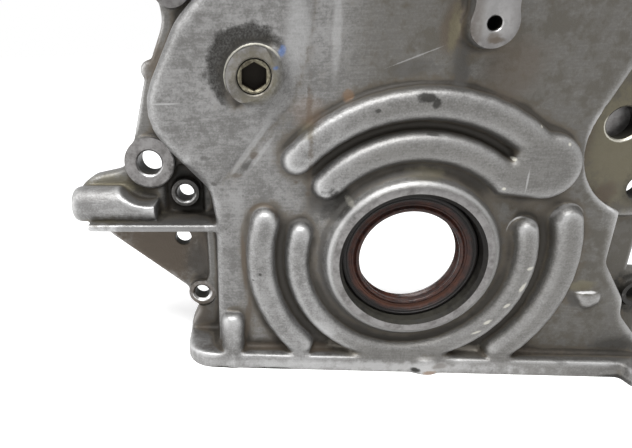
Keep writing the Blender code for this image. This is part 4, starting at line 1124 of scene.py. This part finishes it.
# %% The seal's rubber
RED_DARK = (0.016, 0.007, 0.006)
RED_LIGHT = (0.046, 0.016, 0.010)
LIT_RED_BAND = (0.095, 0.034, 0.017)
RIM_SHADE = (0.009, 0.0075, 0.007)
# Radii in metres: the middle of the lit band, the end of the wet lip, the start of the painted shade at the
# rim.
LIT_BAND = 0.0234
LIP = (0.0216, 0.0226)
SHADED_RIM = (0.0242, 0.0258)

rubber, tree, shader = new_material("seal_rubber")
grains = use(tree, cast_grain, 900.0, 420.0, 120.0)
_, flat, radius = from_centre(tree, spot_in(tree), (0, 0, CRANK_Z))
colour = layer(tree, ramp(tree, grains["Blotches"], 0.36, 0.64), RED_DARK, RED_LIGHT)
# The lighter band lies on the lower half only, where the lip catches the light: painted light.
below = ramp(tree, part_of(tree, flat, "Z"), -0.024, 0.0, 1.0, 0.0)
lit_band = maths(tree, "ABSOLUTE", minus(tree, radius, LIT_BAND))
lit_band = ramp(tree, lit_band, 0.0004, 0.0012, 0.7, 0.0)
colour = layer(tree, times(tree, below, lit_band), colour, LIT_RED_BAND)
# Painted shade: the outer rim goes nearly black.
wobble = plus(tree, radius, times(tree, minus(tree, grains["Clouds"], 0.5), 0.004))
colour = layer(tree, ramp(tree, wobble, *SHADED_RIM), colour, RIM_SHADE)
rough = plus(tree, ramp(tree, radius, *LIP, 0.06, 0.36), times(tree, grains["Grain"], 0.2))
relief = plus(tree, grains["Grain"], times(tree, grains["Blotches"], 2.0))
fill(tree, shader, {
    "Base Color": colour, "Roughness": rough, "Specular IOR Level": 0.28,
    "Normal": bumps(tree, relief, 0.4, 0.3),
})
seal.data.materials.append(rubber)
smooth(seal, 40)
print("material", rubber.name)

# %% [markdown]
# The steel parts are plainer: mottled metal. The plug is the dirty one, with a dull zinc face, and its
# socket is dark with dirt in the bottom and with painted shade inside.

# %% Spring, case and plug
SOCKET_FILM = (0.060, 0.052, 0.034)
SOCKET_DIRT_AND_SHADE = (0.014, 0.011, 0.008)


def plain_steel(name, dark, light, rough_low, rough_high, below=None):
    """A mottled metal; below, if given, is the depth in millimetres under which it is dark with dirt and
    painted shade.
    """
    made, tree, shader = new_material(name)
    grains = use(tree, cast_grain, 1500.0, 500.0, 200.0)
    colour = layer(tree, ramp(tree, grains["Blotches"], 0.35, 0.65), dark, light)
    metallic = 0.9
    if below:
        back = part_of(tree, spot_in(tree), "Y")
        sunk = ramp(tree, back, BLOCK_Y - (below + 0.2) * MM, BLOCK_Y - (below - 0.6) * MM)
        radius = from_centre(tree, spot_in(tree), place(*PLUG, 0))[2]
        colour = layer(tree, ramp(tree, radius, 0.0048, 0.0052, 0.75, 0.0), colour, SOCKET_FILM)
        colour = layer(tree, sunk, colour, SOCKET_DIRT_AND_SHADE)
        shader["Specular IOR Level"].default_value = 0.1
        metallic = ramp(tree, sunk, 0.0, 1.0, 0.8, 0.2)
    fill(tree, shader, {
        "Base Color": colour, "Metallic": metallic, "Normal": bumps(tree, grains["Grain"], 0.2, 0.1),
        "Roughness": ramp(tree, grains["Grain"], 0.3, 0.7, rough_low, rough_high),
    })
    return made


spring_wire = plain_steel("spring_wire", (0.20, 0.19, 0.18), (0.42, 0.41, 0.40), 0.25, 0.4)
case_metal = plain_steel("case_metal", (0.16, 0.15, 0.14), (0.34, 0.33, 0.32), 0.35, 0.5)
plug_metal = plain_steel(
    "plug_metal", (0.075, 0.066, 0.048), (0.21, 0.195, 0.145), 0.35, 0.55, PLUG_FRONT - 0.7)
spring.data.materials.clear()
spring.data.materials.append(spring_wire)
spring.data.shade_smooth()
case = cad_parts["seal_case"]
case.data.materials.clear()
case.data.materials.append(case_metal)
plug.data.materials.append(plug_metal)
smooth(plug, 35)
print("finishes on", [piece.name for piece in (casting, seal, spring, case, plug)])

# %% [markdown]
# Each new piece stands for its CAD node and rides on the one body.

# %% Hand over to the frame
for piece, node, slot in (
    (casting, "cover_casting", "cast_aluminium"),
    (seal, "seal_body", "seal_elastomer"),
    (spring, "garter_spring", "spring_steel"),
    (plug, "screw_plug", "plug_steel"),
):
    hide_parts(node)
    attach(piece, "root")
